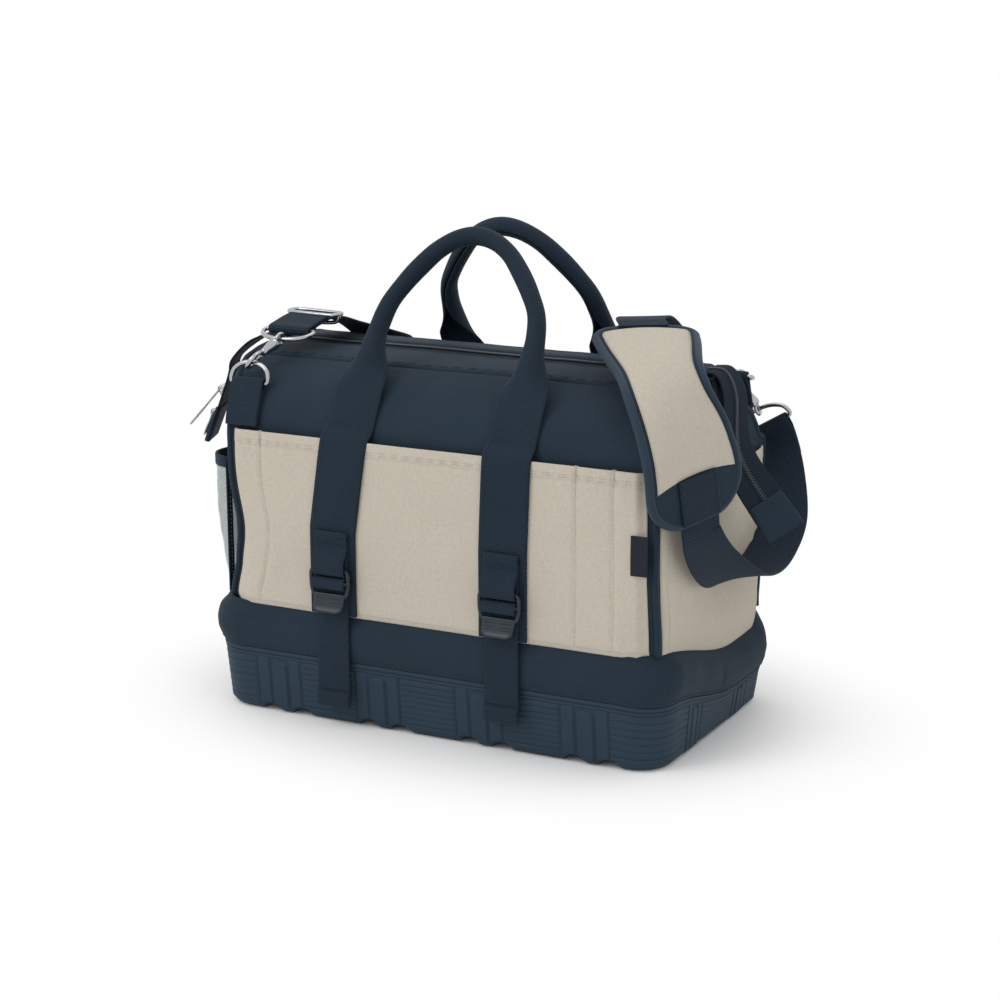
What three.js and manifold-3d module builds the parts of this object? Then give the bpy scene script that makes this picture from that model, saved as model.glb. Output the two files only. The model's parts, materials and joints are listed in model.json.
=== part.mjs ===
// Zippered tool bag: a canvas body with patch pockets on a ribbed moulded tub, two webbing
// handles, four lashing straps with ladder-lock buckles and a shoulder strap with a shaped pad.
// Units are millimetres. +Z is up, +X runs along the bag, the front face looks along -Y, and the
// origin is the middle of the underside of the tub.
import * as THREE from 'three';
import { mergeVertices } from 'three/addons/utils/BufferGeometryUtils.js';
import Module from 'manifold-3d';

const wasm = await Module();
wasm.setup();

// Clearances
const GAP = 0.3;                 // between sewn or touching pieces
const RUN = 0.4;                 // between a ring and what loops round it

// Moulded tub
const TUB_LENGTH = 488;
const TUB_DEPTH = 280;
const TUB_HEIGHT = 66;
const TUB_DIP = 22;              // how far the rim falls in the middle of each end
const TUB_WALL = 3.5;
const TUB_FLOOR = 4;
const TUB_CORNER = 38;           // plan radius at the rim
const FOOT_CORNER = 27;          // plan radius at the foot
const SIDE_DRAFT = 8;            // how far front and back lean in at the foot
const END_DRAFT = 13;            // the same at the ends
const FOOT_ROUND = 6;            // rounding where the walls meet the floor
const LIP_STEP = 2;              // how far the two rim lips stand out
const LIP_HEIGHT = 4;
const RIB_STEP = 1.8;            // how far the ribs stand out
const CORNER_PITCH = 7.4;        // rib pitch on the corner and end blocks
const MIDDLE_PITCH = 5.8;        // rib pitch on the three blocks of a long side
const RIB_TOP = 0.8;             // share of the tub height that the ribs reach
const ZONE_WIDTH = 50;           // upright ridges between two ribbed blocks on the long sides
const ZONE_PITCH = 111;
const END_ZONE = { near: 42, far: 74 };
const RIDGE = { width: 5, share: 0.8, shift: 19 };
const ARCHED = { width: 24, share: 0.74 };
const FOOT_ARCH = 13;            // radius of the small arches along the foot
const FOOT_ARCH_RISE = 6;
const FOOT_ARCH_SHIFT = 15.6;    // distance of an arch from the middle of its zone
const RIB_FOOT = 4;              // plain strip under the lowest rib
const FLOOR_BOARD = 3;

// Canvas body above the tub
const BODY_LENGTH = TUB_LENGTH - 14;
const BODY_DEPTH = TUB_DEPTH - 12;
const BODY_HEIGHT = 353.5;       // the zip at the ridge
const BAND_TOP = 112;
const BAND_BULGE = 3;
const SHOULDER = BODY_HEIGHT - 113.5;   // height where the sides start to lean in
const SHOULDER_SIDE = 2.4;       // roundness of the shoulder across the bag
const SHOULDER_RISE = 4.2;       // roundness of the shoulder upwards
const CANVAS = 2.5;
const PIPING = 3.2;              // radius of the piping
const HEM = 66;                  // distance of the hem seam from the zip
const ZIP_TAPE = 16;             // half width of the zip opening
const ZIP_THICK = 1.8;
const TOOTH_PITCH = 12;
const TOOTH_LENGTH = 3;

// Pockets
const POCKET_TOP = BODY_HEIGHT - 68.5;
const POCKET_SPACE = 6;
const POCKET_CLOTH = 2.5;
const POCKET_LENGTH = BODY_LENGTH - 22;
const POCKET_SEAM = 3;           // width of a sewn divider
const POCKET_FLOOR = 4;
const PEN_SEAM = 34 - POCKET_LENGTH / 2;   // dividers, as distances from the middle of the bag
const TOOL_SEAM = POCKET_LENGTH / 2 - 68;
const EDGE_SEAM = POCKET_LENGTH / 2 - 30;
const END_POCKET_TOP = BODY_HEIGHT - 91.5;
const END_POCKET_WIDTH = BODY_DEPTH - 72;
const MESH_BULGE = 20;
const MESH_TOP = BODY_HEIGHT - 113.5;
const TAG_WIDTH = 16;
const TAG_HEIGHT = 37;
const TAG_TOP = BODY_HEIGHT - 124.5;

// Handles
const WEB_WIDE = 50;
const WEB_THICK = 2.6;
const STRIP_FOOT = { left: -98, right: 85 };
const STRIP_TOP = { left: -80, right: 90 };
const STRIP_STEP = { start: 2, rise: 14 };   // where a strip steps off the pockets
const PIVOT_HEIGHT = BODY_HEIGHT - 35.5;
const GRIP_HEIGHT = BODY_HEIGHT + 120.5;
const GRIP_WIDE = 11;            // half width of the folded grip
const GRIP_THICK = 8.5;          // half thickness of the folded grip
const GRIP_LEAN = 37;            // distance of the grip from the middle plane
const LEG_BEND = BODY_HEIGHT + 43.5;   // height where the leg folds into the grip

// Lashing straps
const WEB_NARROW = 36;
const BUCKLE_WIDTH = 45;
const BUCKLE_BAR = 4;
const BUCKLE_AXIS = BAND_TOP + 48;   // height of the bar that hangs the buckle
const BUCKLE_SLOT = 8;
const TONGUE = 17;
const SEWN_TOP = BUCKLE_AXIS + 37;
const TAIL_FOOT = { left: 22, right: 34 };

// Rings and swivel hooks
const TAB_WIDTH = 36;
const TAB_X = 33 - BODY_LENGTH / 2;
const TAB_FOOT = POCKET_TOP + 4;
const TAB_TOP = BODY_HEIGHT - 28.5;    // where a tab leaves the panel to fold round its ring
const RING_WIRE = 2.2;
const BAG_RING = { width: 42, depth: 20 };
const STRAP_RING = { width: 56, depth: 20 };
const HOOK_ARC = 9;
const HOOK_WIRE = 2.2;
const NOSE_TOP = 6.5;
const BARREL = { start: 15, length: 16, bore: 8, thin: 3.4, thick: 5.4 };
const EYE = { radius: 5.2, wire: 1.8, stem: 2 };
const GATE_WIRE = 1.6;
const RING_PLAY = 0.9;           // slack of a ring in its hook

// Shoulder strap
const STRAP_HALF = 23.5;
const STRAP_THICK = 2.4;
const ADJUSTER = { half: 29, reach: 13, wire: 2, lift: 4 };
const PAD = { end: 53, waist: 41, thick: 6.5 };

// Zip tails and sliders
const TAPE_TAIL = { half: 22.5, thick: 1.5 };
const END_TAB = { half: 20, thick: 2.6, share: 0.95 };
const SLIDER = { length: 13, width: 11, plate: 2.4, bail: 5, hole: 1.3 };
const PULL = { pin: 0.9, half: 4.5, rod: 0.9, frame: 1.6 };
const SLIDER_PLACES = {          // place down the tail, length of the pull and its swing in degrees
  upper: { down: -8, pull: 50, swing: 22 },
  lower: { down: 18, pull: 26, swing: 4 },
};

// Colours
const NAVY = 0x2b3742;
const NAVY_WEB = 0x232d38;
const RUBBER = 0x2c3845;
const BEIGE = 0xc4bba9;
const BLACK = 0x15181d;
const CHROME = 0xc9ced2;
const MESH_GREY = 0xb9bcbd;

const V3 = THREE.Vector3;
const bag = new THREE.Group();

function vec(values) {
  return new V3(values[0], values[1], values[2]);
}

// Boolean work: a geometry becomes a solid, and a solid becomes a geometry again.
function solid(geometry) {
  const bare = geometry.clone();
  bare.deleteAttribute('normal');
  bare.deleteAttribute('uv');
  const merged = mergeVertices(bare, 1e-4);
  return new wasm.Manifold(new wasm.Mesh({
    numProp: 3,
    vertProperties: new Float32Array(merged.attributes.position.array),
    triVerts: new Uint32Array(merged.index.array),
  }));
}

function geometryOf(body) {
  const mesh = body.getMesh();
  const geometry = new THREE.BufferGeometry();
  const stride = mesh.numProp;
  const count = mesh.vertProperties.length / stride;
  const position = new Float32Array(count * 3);
  for (let i = 0; i < count; i++) {
    position.set(mesh.vertProperties.subarray(i * stride, i * stride + 3), i * 3);
  }
  geometry.setAttribute('position', new THREE.BufferAttribute(position, 3));
  geometry.setIndex(new THREE.BufferAttribute(new Uint32Array(mesh.triVerts), 1));
  geometry.computeVertexNormals();
  return geometry;
}

function join(first, ...others) {
  return geometryOf(others.reduce((sum, g) => sum.add(solid(g)), solid(first)));
}

function cut(first, ...others) {
  return geometryOf(others.reduce((rest, g) => rest.subtract(solid(g)), solid(first)));
}

function common(first, second) {
  return geometryOf(solid(first).intersect(solid(second)));
}

// Merges the flat faces that boolean work has split.
function tidied(geometry) {
  return geometryOf(solid(geometry).asOriginal().simplify(0.03));
}

// Skin over a row of rings with equal counts. A closed row joins its last ring to its first, and
// an open row gets a fan over each end.
function loft(rings, closed = false) {
  const n = rings[0].length;
  const index = [];
  const spans = closed ? rings.length : rings.length - 1;
  for (let k = 0; k < spans; k++) {
    const low = k * n;
    const high = ((k + 1) % rings.length) * n;
    for (let i = 0; i < n; i++) {
      const j = (i + 1) % n;
      index.push(low + i, low + j, high + j, low + i, high + j, high + i);
    }
  }
  if (!closed) {
    const top = (rings.length - 1) * n;
    for (let i = 1; i + 1 < n; i++) {
      index.push(0, i + 1, i, top, top + i, top + i + 1);
    }
  }
  return outward(new THREE.BufferGeometry().setFromPoints(rings.flat()).setIndex(index));
}

// Turns every face over if the skin is inside out, judged by its signed volume.
function outward(geometry) {
  const p = geometry.attributes.position;
  const index = Array.from(geometry.index.array);
  const [a, b, c] = [new V3(), new V3(), new V3()];
  let volume = 0;
  for (let i = 0; i < index.length; i += 3) {
    a.fromBufferAttribute(p, index[i]);
    b.fromBufferAttribute(p, index[i + 1]);
    c.fromBufferAttribute(p, index[i + 2]);
    volume += a.dot(b.cross(c));
  }
  geometry.setIndex(volume < 0 ? index.reverse() : index);
  geometry.computeVertexNormals();
  return geometry;
}

function place(geometry, move) {
  return geometry.clone().applyMatrix4(move);
}

function halfTurn(geometry) {
  return place(geometry, new THREE.Matrix4().makeRotationZ(Math.PI));
}

function shifted(geometry, x, y, z) {
  return place(geometry, new THREE.Matrix4().makeTranslation(x, y, z));
}

function block(low, high) {
  const size = vec(high).sub(vec(low));
  const mid = vec(high).add(vec(low)).multiplyScalar(0.5);
  return shifted(new THREE.BoxGeometry(size.x, size.y, size.z).toNonIndexed(), mid.x, mid.y, mid.z);
}

// An outline in the (y, z) plane, carried along X from one end to the other.
function alongX(outline, from, to) {
  const shape = new THREE.Shape(outline.map(([y, z]) => new THREE.Vector2(y, z)));
  const raised = new THREE.ExtrudeGeometry(shape, { depth: to - from, bevelEnabled: false });
  const turn = new THREE.Matrix4().makeBasis(new V3(0, 1, 0), new V3(0, 0, 1), new V3(1, 0, 0));
  return shifted(place(raised, turn), from, 0, 0);
}

// A shape in the (x, z) plane given thickness along Y.
function alongY(shape, from, to) {
  const raised = new THREE.ExtrudeGeometry(shape, { depth: to - from, bevelEnabled: false, curveSegments: 5 });
  const turn = new THREE.Matrix4().makeBasis(new V3(1, 0, 0), new V3(0, 0, 1), new V3(0, -1, 0));
  return shifted(place(raised, turn), 0, to, 0);
}

function circle(radius, sides) {
  return new THREE.Shape().absarc(0, 0, radius, 0, 2 * Math.PI).getSpacedPoints(sides).slice(0, sides);
}

// Round wire along a curve. A closed curve gives a closed ring.
function wire(curve, radius, steps, sides = 6) {
  const frames = curve.computeFrenetFrames(steps, curve.closed);
  const count = curve.closed ? steps : steps + 1;
  const rings = [];
  for (let k = 0; k < count; k++) {
    const centre = curve.getPointAt(k / steps);
    rings.push(circle(radius, sides).map((p) => centre.clone()
      .addScaledVector(frames.normals[k], p.x).addScaledVector(frames.binormals[k], p.y)));
  }
  return loft(rings, curve.closed);
}

// Section of a band: half width w and half thickness t on the two axes, corners cut when round.
function bandRing(centre, across, up, w, t, round) {
  const points = round
    ? [[1, 0.35], [0.8, 1], [-0.8, 1], [-1, 0.35], [-1, -0.35], [-0.8, -1], [0.8, -1], [1, -0.35]]
    : [[1, 1], [-1, 1], [-1, -1], [1, -1]];
  return points.map(([a, b]) => centre.clone().addScaledVector(across, a * w).addScaledVector(up, b * t));
}

// A flat band through stations [x, y, z, width direction x, y, z]. size(u) gives its half width
// and half thickness.
function band(stations, size, steps, round = false) {
  const spine = new THREE.CatmullRomCurve3(stations.map(vec), false, 'centripetal');
  const sides = new THREE.CatmullRomCurve3(stations.map((s) => vec(s.slice(3))), false, 'centripetal');
  const rings = [];
  for (let k = 0; k <= steps; k++) {
    const t = k / steps;
    const along = spine.getTangent(t);
    const across = sides.getPoint(t);
    across.addScaledVector(along, -across.dot(along)).normalize();
    const up = new V3().crossVectors(along, across);
    const [w, h] = size(t);
    rings.push(bandRing(spine.getPoint(t), across, up, w, h, round));
  }
  return loft(rings);
}

function add(name, geometry, color, roughness, metalness = 0) {
  const material = new THREE.MeshStandardMaterial({ color, roughness, metalness });
  const mesh = new THREE.Mesh(geometry, material);
  mesh.name = name;
  bag.add(mesh);
  return mesh;
}

// Rounded rectangle in plan. The end edges are divided, so that a rim can dip along them.
function planRing(halfX, halfY, radius) {
  const points = [];
  const arcSteps = 4;
  const endSteps = 5;
  for (const [sx, sy, start] of [[1, -1, -90], [1, 1, 0], [-1, 1, 90], [-1, -1, 180]]) {
    for (let k = 0; k <= arcSteps; k++) {
      const a = THREE.MathUtils.degToRad(start + 90 * k / arcSteps);
      points.push([sx * (halfX - radius) + radius * Math.cos(a), sy * (halfY - radius) + radius * Math.sin(a)]);
    }
    const edge = halfY - radius;
    for (let k = 1; sx * sy < 0 && k < endSteps; k++) {
      points.push([sx * halfX, sy * edge * (1 - 2 * k / endSteps)]);
    }
  }
  return points;
}

// Height of the tub rim at a place in plan: level along front and back, dipping at the ends.
function rimHeight(x, y) {
  if (Math.abs(x) < TUB_LENGTH / 2 - TUB_CORNER) return TUB_HEIGHT;
  const share = Math.min(1, Math.abs(y) / (TUB_DEPTH / 2 - TUB_CORNER));
  return TUB_HEIGHT - TUB_DIP * Math.cos(share * Math.PI / 2) ** 2;
}

// Ring of the tub at a share of its height, standing out by a distance from the plain wall.
function tubRing(share, out) {
  const low = 1 - share;
  const radius = TUB_CORNER - (TUB_CORNER - FOOT_CORNER) * low + out;
  const halfX = TUB_LENGTH / 2 - END_DRAFT * low + out;
  const halfY = TUB_DEPTH / 2 - SIDE_DRAFT * low + out;
  return planRing(halfX, halfY, radius).map(([x, y]) => new V3(x, y, share * rimHeight(x, y)));
}

// Stack of horizontal ribs round the whole wall, later kept only inside the ribbed blocks.
function ribStack(pitch) {
  const rings = [];
  const count = Math.floor(RIB_TOP * TUB_HEIGHT / pitch);
  const first = RIB_TOP + (RIB_FOOT - count * pitch) / TUB_HEIGHT;
  for (let k = 0; k < count; k++) {
    for (const [part, out] of [[0, -1], [0.25, RIB_STEP], [0.75, RIB_STEP]]) {
      rings.push(tubRing(first + (k + part) * pitch / TUB_HEIGHT, out));
    }
  }
  return loft(rings);
}

// Upright ridge standing against a wall in front of it, leaning with the draft of that wall.
// The broad ones have an arched top.
function upright(width, height, draft) {
  const shape = new THREE.Shape().moveTo(-width / 2, 0).lineTo(width / 2, 0);
  const spring = height - width / 4;
  shape.lineTo(width / 2, spring);
  if (width === ARCHED.width) shape.absellipse(0, spring, width / 2, width / 4, 0, Math.PI);
  shape.lineTo(-width / 2, spring);
  const lean = new THREE.Matrix4().makeRotationX(Math.atan(draft / TUB_HEIGHT));
  return place(alongY(shape, -RIB_STEP - 0.4, TUB_WALL / 2), lean);
}

const zoneCentres = [-1.5, -0.5, 0.5, 1.5].map((k) => k * ZONE_PITCH);

// The three ridges of a zone: a narrow one, the arched one and a narrow one.
function zoneUprights(height, draft) {
  const ridge = upright(RIDGE.width, RIDGE.share * height, draft);
  return join(upright(ARCHED.width, ARCHED.share * height, draft),
    shifted(ridge, -RIDGE.shift, 0, 0), shifted(ridge, RIDGE.shift, 0, 0));
}

// Ridges of every zone: at the zone centres of the long sides, and narrower ones on the ends.
function allUprights() {
  const long = zoneUprights(TUB_HEIGHT, SIDE_DRAFT);
  const pieces = zoneCentres.map((x) => shifted(long, x, SIDE_DRAFT - TUB_DEPTH / 2, 0));
  const narrow = (END_ZONE.far - END_ZONE.near) / ZONE_WIDTH;
  const short = place(zoneUprights(TUB_HEIGHT - TUB_DIP / 2, END_DRAFT), new THREE.Matrix4()
    .makeRotationZ(Math.PI / 2).multiply(new THREE.Matrix4().makeScale(narrow, 1, 1)));
  for (const side of [-1, 1]) {
    const middle = side * (END_ZONE.near + END_ZONE.far) / 2;
    pieces.push(shifted(short, TUB_LENGTH / 2 - END_DRAFT, middle, 0));
  }
  return [...pieces, ...pieces.map(halfTurn)];
}

// Two small arches cut through the foot of each zone.
function footArches() {
  const arch = new THREE.CylinderGeometry(FOOT_ARCH, FOOT_ARCH, 26, 12);
  const arches = [];
  for (const x of zoneCentres) {
    for (const side of [-1, 1]) {
      arches.push(shifted(arch, x + side * FOOT_ARCH_SHIFT, SIDE_DRAFT - TUB_DEPTH / 2,
        FOOT_ARCH_RISE - FOOT_ARCH));
    }
  }
  return [...arches, ...arches.map(halfTurn)];
}

// The ribbed blocks: fine ribs between the zones of the long sides, coarse ones round the corners
// and on the middle of the ends.
function ribbedBlocks() {
  const far = TUB_LENGTH;
  const clear = (ZONE_PITCH - ZONE_WIDTH) / 2;
  const span = (x, half) => block([x - half, -far, -far], [x + half, far, far]);
  const fine = common(ribStack(MIDDLE_PITCH), join(...[-1, 0, 1].map((k) => span(k * ZONE_PITCH, clear))));
  const ends = [-1, 1].map((side) => {
    const edges = [side * END_ZONE.near, side * END_ZONE.far].sort((a, b) => a - b);
    return block([-far, edges[0], -far], [far, edges[1], far]);
  });
  const coarse = cut(ribStack(CORNER_PITCH), span(0, 1.5 * ZONE_PITCH + ZONE_WIDTH / 2), ...ends);
  return [fine, coarse];
}

// Wall and floor with the rounded foot and the two lips along the rim.
function tubShell() {
  const foot = FOOT_ROUND / TUB_HEIGHT;
  const lip = LIP_HEIGHT / TUB_HEIGHT;
  const steps = [[0, -FOOT_ROUND], [foot * 0.35, -FOOT_ROUND * 0.25], [foot, 0], [1 - 4 * lip, 0],
    [1 - 3.6 * lip, LIP_STEP], [1 - 2.6 * lip, LIP_STEP], [1 - 2.2 * lip, 0], [1 - 1.6 * lip, 0],
    [1 - 1.2 * lip, LIP_STEP], [1, LIP_STEP], [1, -TUB_WALL - 1]];
  return loft(steps.map(([share, out]) => tubRing(share, out)));
}

function tubHollow() {
  const floor = TUB_FLOOR / TUB_HEIGHT;
  const steps = [[floor, -TUB_WALL - 2], [floor + 0.08, -TUB_WALL], [1.2, -TUB_WALL]];
  return loft(steps.map(([share, out]) => tubRing(share, out)));
}

function baseTub() {
  const walls = join(tubShell(), ...ribbedBlocks(), ...allUprights());
  const ground = block([-TUB_LENGTH, -TUB_DEPTH, -TUB_HEIGHT], [TUB_LENGTH, TUB_DEPTH, 0]);
  return tidied(cut(walls, tubHollow(), ground, ...footArches()));
}

// The board lies on the tub floor, clear of the walls.
function floorBoard() {
  const share = (TUB_FLOOR + FLOOR_BOARD) / TUB_HEIGHT;
  const inset = -TUB_WALL - 4;
  const plan = tubRing(share, inset);
  return loft([GAP, GAP + FLOOR_BOARD].map((rise) => plan.map((p) => new V3(p.x, p.y, TUB_FLOOR + rise))));
}

// Fabric band from the tub rim to the foot of the pockets.
function lowerBand() {
  const ring = (share, out) => tubRing(1, 0).map((p) => {
    const base = p.z + GAP * 1.3;
    const pull = (TUB_LENGTH - BODY_LENGTH) / 2 * share ** 3;
    const scale = new V3(1 - (out + pull) / (TUB_LENGTH / 2), 1 - (out + pull) / (TUB_DEPTH / 2), 1);
    return new V3(p.x * scale.x, p.y * scale.y, base + (BAND_TOP - base) * share);
  });
  const shell = [[0, CANVAS + 1], [0, -LIP_STEP], [0.4, -BAND_BULGE], [1, 1]].map(([s, o]) => ring(s, o));
  const core = [[-0.2, CANVAS], [0.4, CANVAS - BAND_BULGE], [1.3, 1 + CANVAS]]
    .map(([s, o]) => ring(s, o));
  return cut(loft(shell), loft(core));
}

// Half depth of the canvas body at a height: upright, then a rounded shoulder up to the zip.
function bodyHalf(z) {
  const rise = Math.max(0, (z - SHOULDER) / (BODY_HEIGHT - SHOULDER));
  return BODY_DEPTH / 2 * (1 - rise ** SHOULDER_RISE) ** (1 / SHOULDER_SIDE);
}

function bodyTop(y) {
  const side = Math.min(1, Math.abs(y) / (BODY_DEPTH / 2));
  return SHOULDER + (BODY_HEIGHT - SHOULDER) * (1 - side ** SHOULDER_SIDE) ** (1 / SHOULDER_RISE);
}

// Point of the front face at a height, moved off it by a distance.
function offSurface(z, out) {
  const slope = bodyHalf(z + 0.5) - bodyHalf(z - 0.5);
  const reach = Math.hypot(1, slope);
  return [-bodyHalf(z) - out / reach, z - out * slope / reach];
}

// Points of the body profile from a height on the front up to a distance from the zip, moved
// inwards by a distance.
function profile(fromZ, toY, inset, steps = 12) {
  const points = [];
  const start = Math.max(fromZ, SHOULDER);
  if (fromZ < SHOULDER) points.push([-BODY_DEPTH / 2, fromZ]);
  const startY = bodyHalf(start);
  const turn = Math.asin(Math.min(1, (startY / (BODY_DEPTH / 2)) ** (SHOULDER_SIDE / 2)));
  const stop = Math.asin((toY / (BODY_DEPTH / 2)) ** (SHOULDER_SIDE / 2));
  for (let k = 0; k <= steps; k++) {
    const a = turn + (stop - turn) * k / steps;
    const y = BODY_DEPTH / 2 * Math.sin(a) ** (2 / SHOULDER_SIDE);
    points.push([-y, bodyTop(y)]);
  }
  return points.map((p, i) => {
    const before = points[Math.max(0, i - 1)];
    const after = points[Math.min(points.length - 1, i + 1)];
    const along = new THREE.Vector2(after[0] - before[0], after[1] - before[1]).normalize();
    return [p[0] + along.y * inset, p[1] - along.x * inset];
  });
}

function shellStrip(fromZ, toY, outer, thickness, length) {
  const outline = [...profile(fromZ, toY, outer), ...profile(fromZ, toY, outer + thickness).reverse()];
  return alongX(outline, -length / 2, length / 2);
}

const panelLength = BODY_LENGTH - 2 * (2 * PIPING + GAP);

function frontPanel() {
  return shellStrip(BAND_TOP + GAP, HEM, 0, CANVAS, panelLength);
}

function topFlap() {
  return shellStrip(bodyTop(HEM) + GAP, ZIP_TAPE, 0, CANVAS, panelLength);
}

function closedProfile(inset) {
  const half = profile(BAND_TOP + GAP, 0.01, inset);
  return [...half, ...half.slice(0, -1).reverse().map(([y, z]) => [-y, z])];
}

function endPanel() {
  const inset = CANVAS / 2 + PIPING + 4 * GAP;
  const outer = BODY_LENGTH / 2 - 1;
  return alongX(closedProfile(inset), outer - CANVAS, outer);
}

// Piping follows the body profile over the end of the bag, under the zip.
function piping() {
  const path = closedProfile(CANVAS / 2).map(([y, z]) => new V3(BODY_LENGTH / 2 - PIPING, y, z));
  return wire(new THREE.CatmullRomCurve3(path, false, 'centripetal'), PIPING, 30, 6);
}

// One half of the zip: a tape with a comb of teeth that meshes with the other half.
function zipHalf() {
  const half = panelLength / 2 - 2;
  const edge = ZIP_TAPE - GAP;
  const inner = TOOTH_LENGTH / 2;
  const shape = new THREE.Shape().moveTo(-half, -edge).lineTo(half, -edge).lineTo(half, -inner - GAP);
  const count = Math.floor(2 * half / TOOTH_PITCH) - 1;
  const tooth = TOOTH_PITCH / 2 - GAP;
  for (let k = count - 1; k >= 0; k--) {
    const x = (k - count / 2) * TOOTH_PITCH;
    shape.lineTo(x + tooth, -inner - GAP).lineTo(x + tooth, inner).lineTo(x, inner).lineTo(x, -inner - GAP);
  }
  shape.lineTo(-half, -inner - GAP);
  const comb = new THREE.ExtrudeGeometry(shape, { depth: ZIP_THICK, bevelEnabled: false });
  return shifted(comb, 0, 0, bodyTop(ZIP_TAPE) - ZIP_THICK);
}

// Patch pockets of one long side: one sheet, sewn down at its dividers and under the webbing.
const webLeft = { from: STRIP_FOOT.left - WEB_WIDE / 2, to: STRIP_FOOT.left + WEB_WIDE / 2 };
const webRight = { from: STRIP_FOOT.right - WEB_WIDE / 2, to: STRIP_FOOT.right + WEB_WIDE / 2 };
const pocketSpans = [
  [-POCKET_LENGTH / 2 + POCKET_SEAM, PEN_SEAM],
  [PEN_SEAM + POCKET_SEAM, webLeft.from],
  [webLeft.to, webRight.from],
  [webRight.to, TOOL_SEAM],
  [TOOL_SEAM + POCKET_SEAM, EDGE_SEAM],
  [EDGE_SEAM + POCKET_SEAM, POCKET_LENGTH / 2 - POCKET_SEAM],
];

function pocketOutline(fromZ, toZ, inner, outer) {
  const heights = [fromZ, SHOULDER, (SHOULDER + POCKET_TOP) / 2, toZ];
  const front = heights.map((z) => [-bodyHalf(Math.min(z, POCKET_TOP)) - outer, z]);
  const back = heights.map((z) => [-bodyHalf(Math.min(z, POCKET_TOP)) - inner, z]).reverse();
  return [...front, ...back];
}

function sidePockets() {
  const whole = POCKET_SPACE + POCKET_CLOTH;
  const outline = pocketOutline(BAND_TOP + GAP, POCKET_TOP, GAP, whole);
  const slab = alongX(outline, -POCKET_LENGTH / 2, POCKET_LENGTH / 2);
  const spaces = pocketSpans.map(([from, to]) => alongX(
    pocketOutline(BAND_TOP + POCKET_FLOOR, POCKET_TOP + 5, GAP - 1, POCKET_SPACE), from, to));
  return cut(slab, ...spaces);
}

// Pocket on an end: a patch with rounded lower corners that stands out by a bulge.
function endPocket(top, bulge) {
  const half = END_POCKET_WIDTH / 2;
  const face = BODY_LENGTH / 2 - 1 + GAP;
  const ring = (out, edge) => {
    const x = face + out;
    return [[x, -half + edge, BAND_TOP + GAP + edge], [x, half - edge, BAND_TOP + GAP + edge],
      [x, half - edge, top], [x, -half + edge, top]].map(vec);
  };
  const shell = loft([ring(0, 0), ring(bulge * 0.6, 1), ring(bulge, 5)]);
  const rim = ring(bulge - POCKET_CLOTH, 5 + POCKET_CLOTH);
  const inside = [ring(-1, POCKET_CLOTH), ring(bulge * 0.6, 1 + POCKET_CLOTH), rim]
    .map((r) => r.map((p) => new V3(p.x, p.y, p.z > BAND_TOP + 40 ? p.z + 5 : p.z)));
  return cut(shell, loft(inside));
}

function tag() {
  const x = BODY_LENGTH / 2 - 2 * PIPING - GAP;
  const y = -BODY_DEPTH / 2 - POCKET_SPACE - POCKET_CLOTH - GAP;
  const right = POCKET_LENGTH / 2 - 2;
  return block([right - TAG_WIDTH, y - 1, TAG_TOP - TAG_HEIGHT], [Math.min(right, x), y, TAG_TOP]);
}

// Handle webbing sewn to one side, from the foot of the pockets to the handle pivot.
function stripCentre(z) {
  const proud = POCKET_SPACE + POCKET_CLOTH;
  const start = POCKET_TOP + STRIP_STEP.start;
  const step = THREE.MathUtils.smoothstep(z, start, start + STRIP_STEP.rise);
  return -bodyHalf(z) - proud * (1 - step) - 2 * GAP - WEB_THICK / 2;
}

function stripX(side, z) {
  const share = Math.max(0, (z - SEWN_TOP) / (PIVOT_HEIGHT - SEWN_TOP));
  return STRIP_FOOT[side] + (STRIP_TOP[side] - STRIP_FOOT[side]) * share;
}

const frontFace = -BODY_DEPTH / 2 - POCKET_SPACE - POCKET_CLOTH - 2 * GAP - WEB_THICK;
const buckleY = frontFace - 6;

function webbingStrip(side) {
  const steps = [0, 0.5, 1, 1.5].map((k) => POCKET_TOP + STRIP_STEP.start + k * STRIP_STEP.rise);
  const heights = [BAND_TOP + 2, BUCKLE_AXIS, SEWN_TOP, SHOULDER, (SHOULDER + POCKET_TOP) / 2, ...steps,
    PIVOT_HEIGHT];
  const stations = heights.map((z) => [stripX(side, z), stripCentre(z), z, 1, 0, 0]);
  const strip = band(stations, () => [WEB_WIDE / 2, WEB_THICK / 2], 20);
  return join(strip, buckleStrap(stripX(side, BUCKLE_AXIS)));
}

// Narrow webbing sewn over the strip, folded round the buckle's hanging bar and back up.
function buckleStrap(x) {
  const inner = BUCKLE_BAR / Math.SQRT2 + RUN;
  const outer = inner + 2;
  const sheet = [[frontFace + 0.5, SEWN_TOP], [frontFace - 2, SEWN_TOP], [frontFace - 2, BUCKLE_AXIS + 22],
    [buckleY - outer, BUCKLE_AXIS + 12], [buckleY - outer, BUCKLE_AXIS]];
  for (let k = 1; k <= 6; k++) {
    const a = Math.PI * k / 6;
    sheet.push([buckleY - outer * Math.cos(a), BUCKLE_AXIS - outer * Math.sin(a)]);
  }
  sheet.push([frontFace + 0.5, BUCKLE_AXIS]);
  const eye = [];
  for (let k = 0; k < 12; k++) {
    const a = 2 * Math.PI * k / 12;
    eye.push([buckleY + inner * Math.cos(a), BUCKLE_AXIS + inner * Math.sin(a)]);
  }
  const half = WEB_NARROW / 2;
  return cut(alongX(sheet, x - half, x + half), alongX(eye, x - half - 1, x + half + 1));
}

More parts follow.
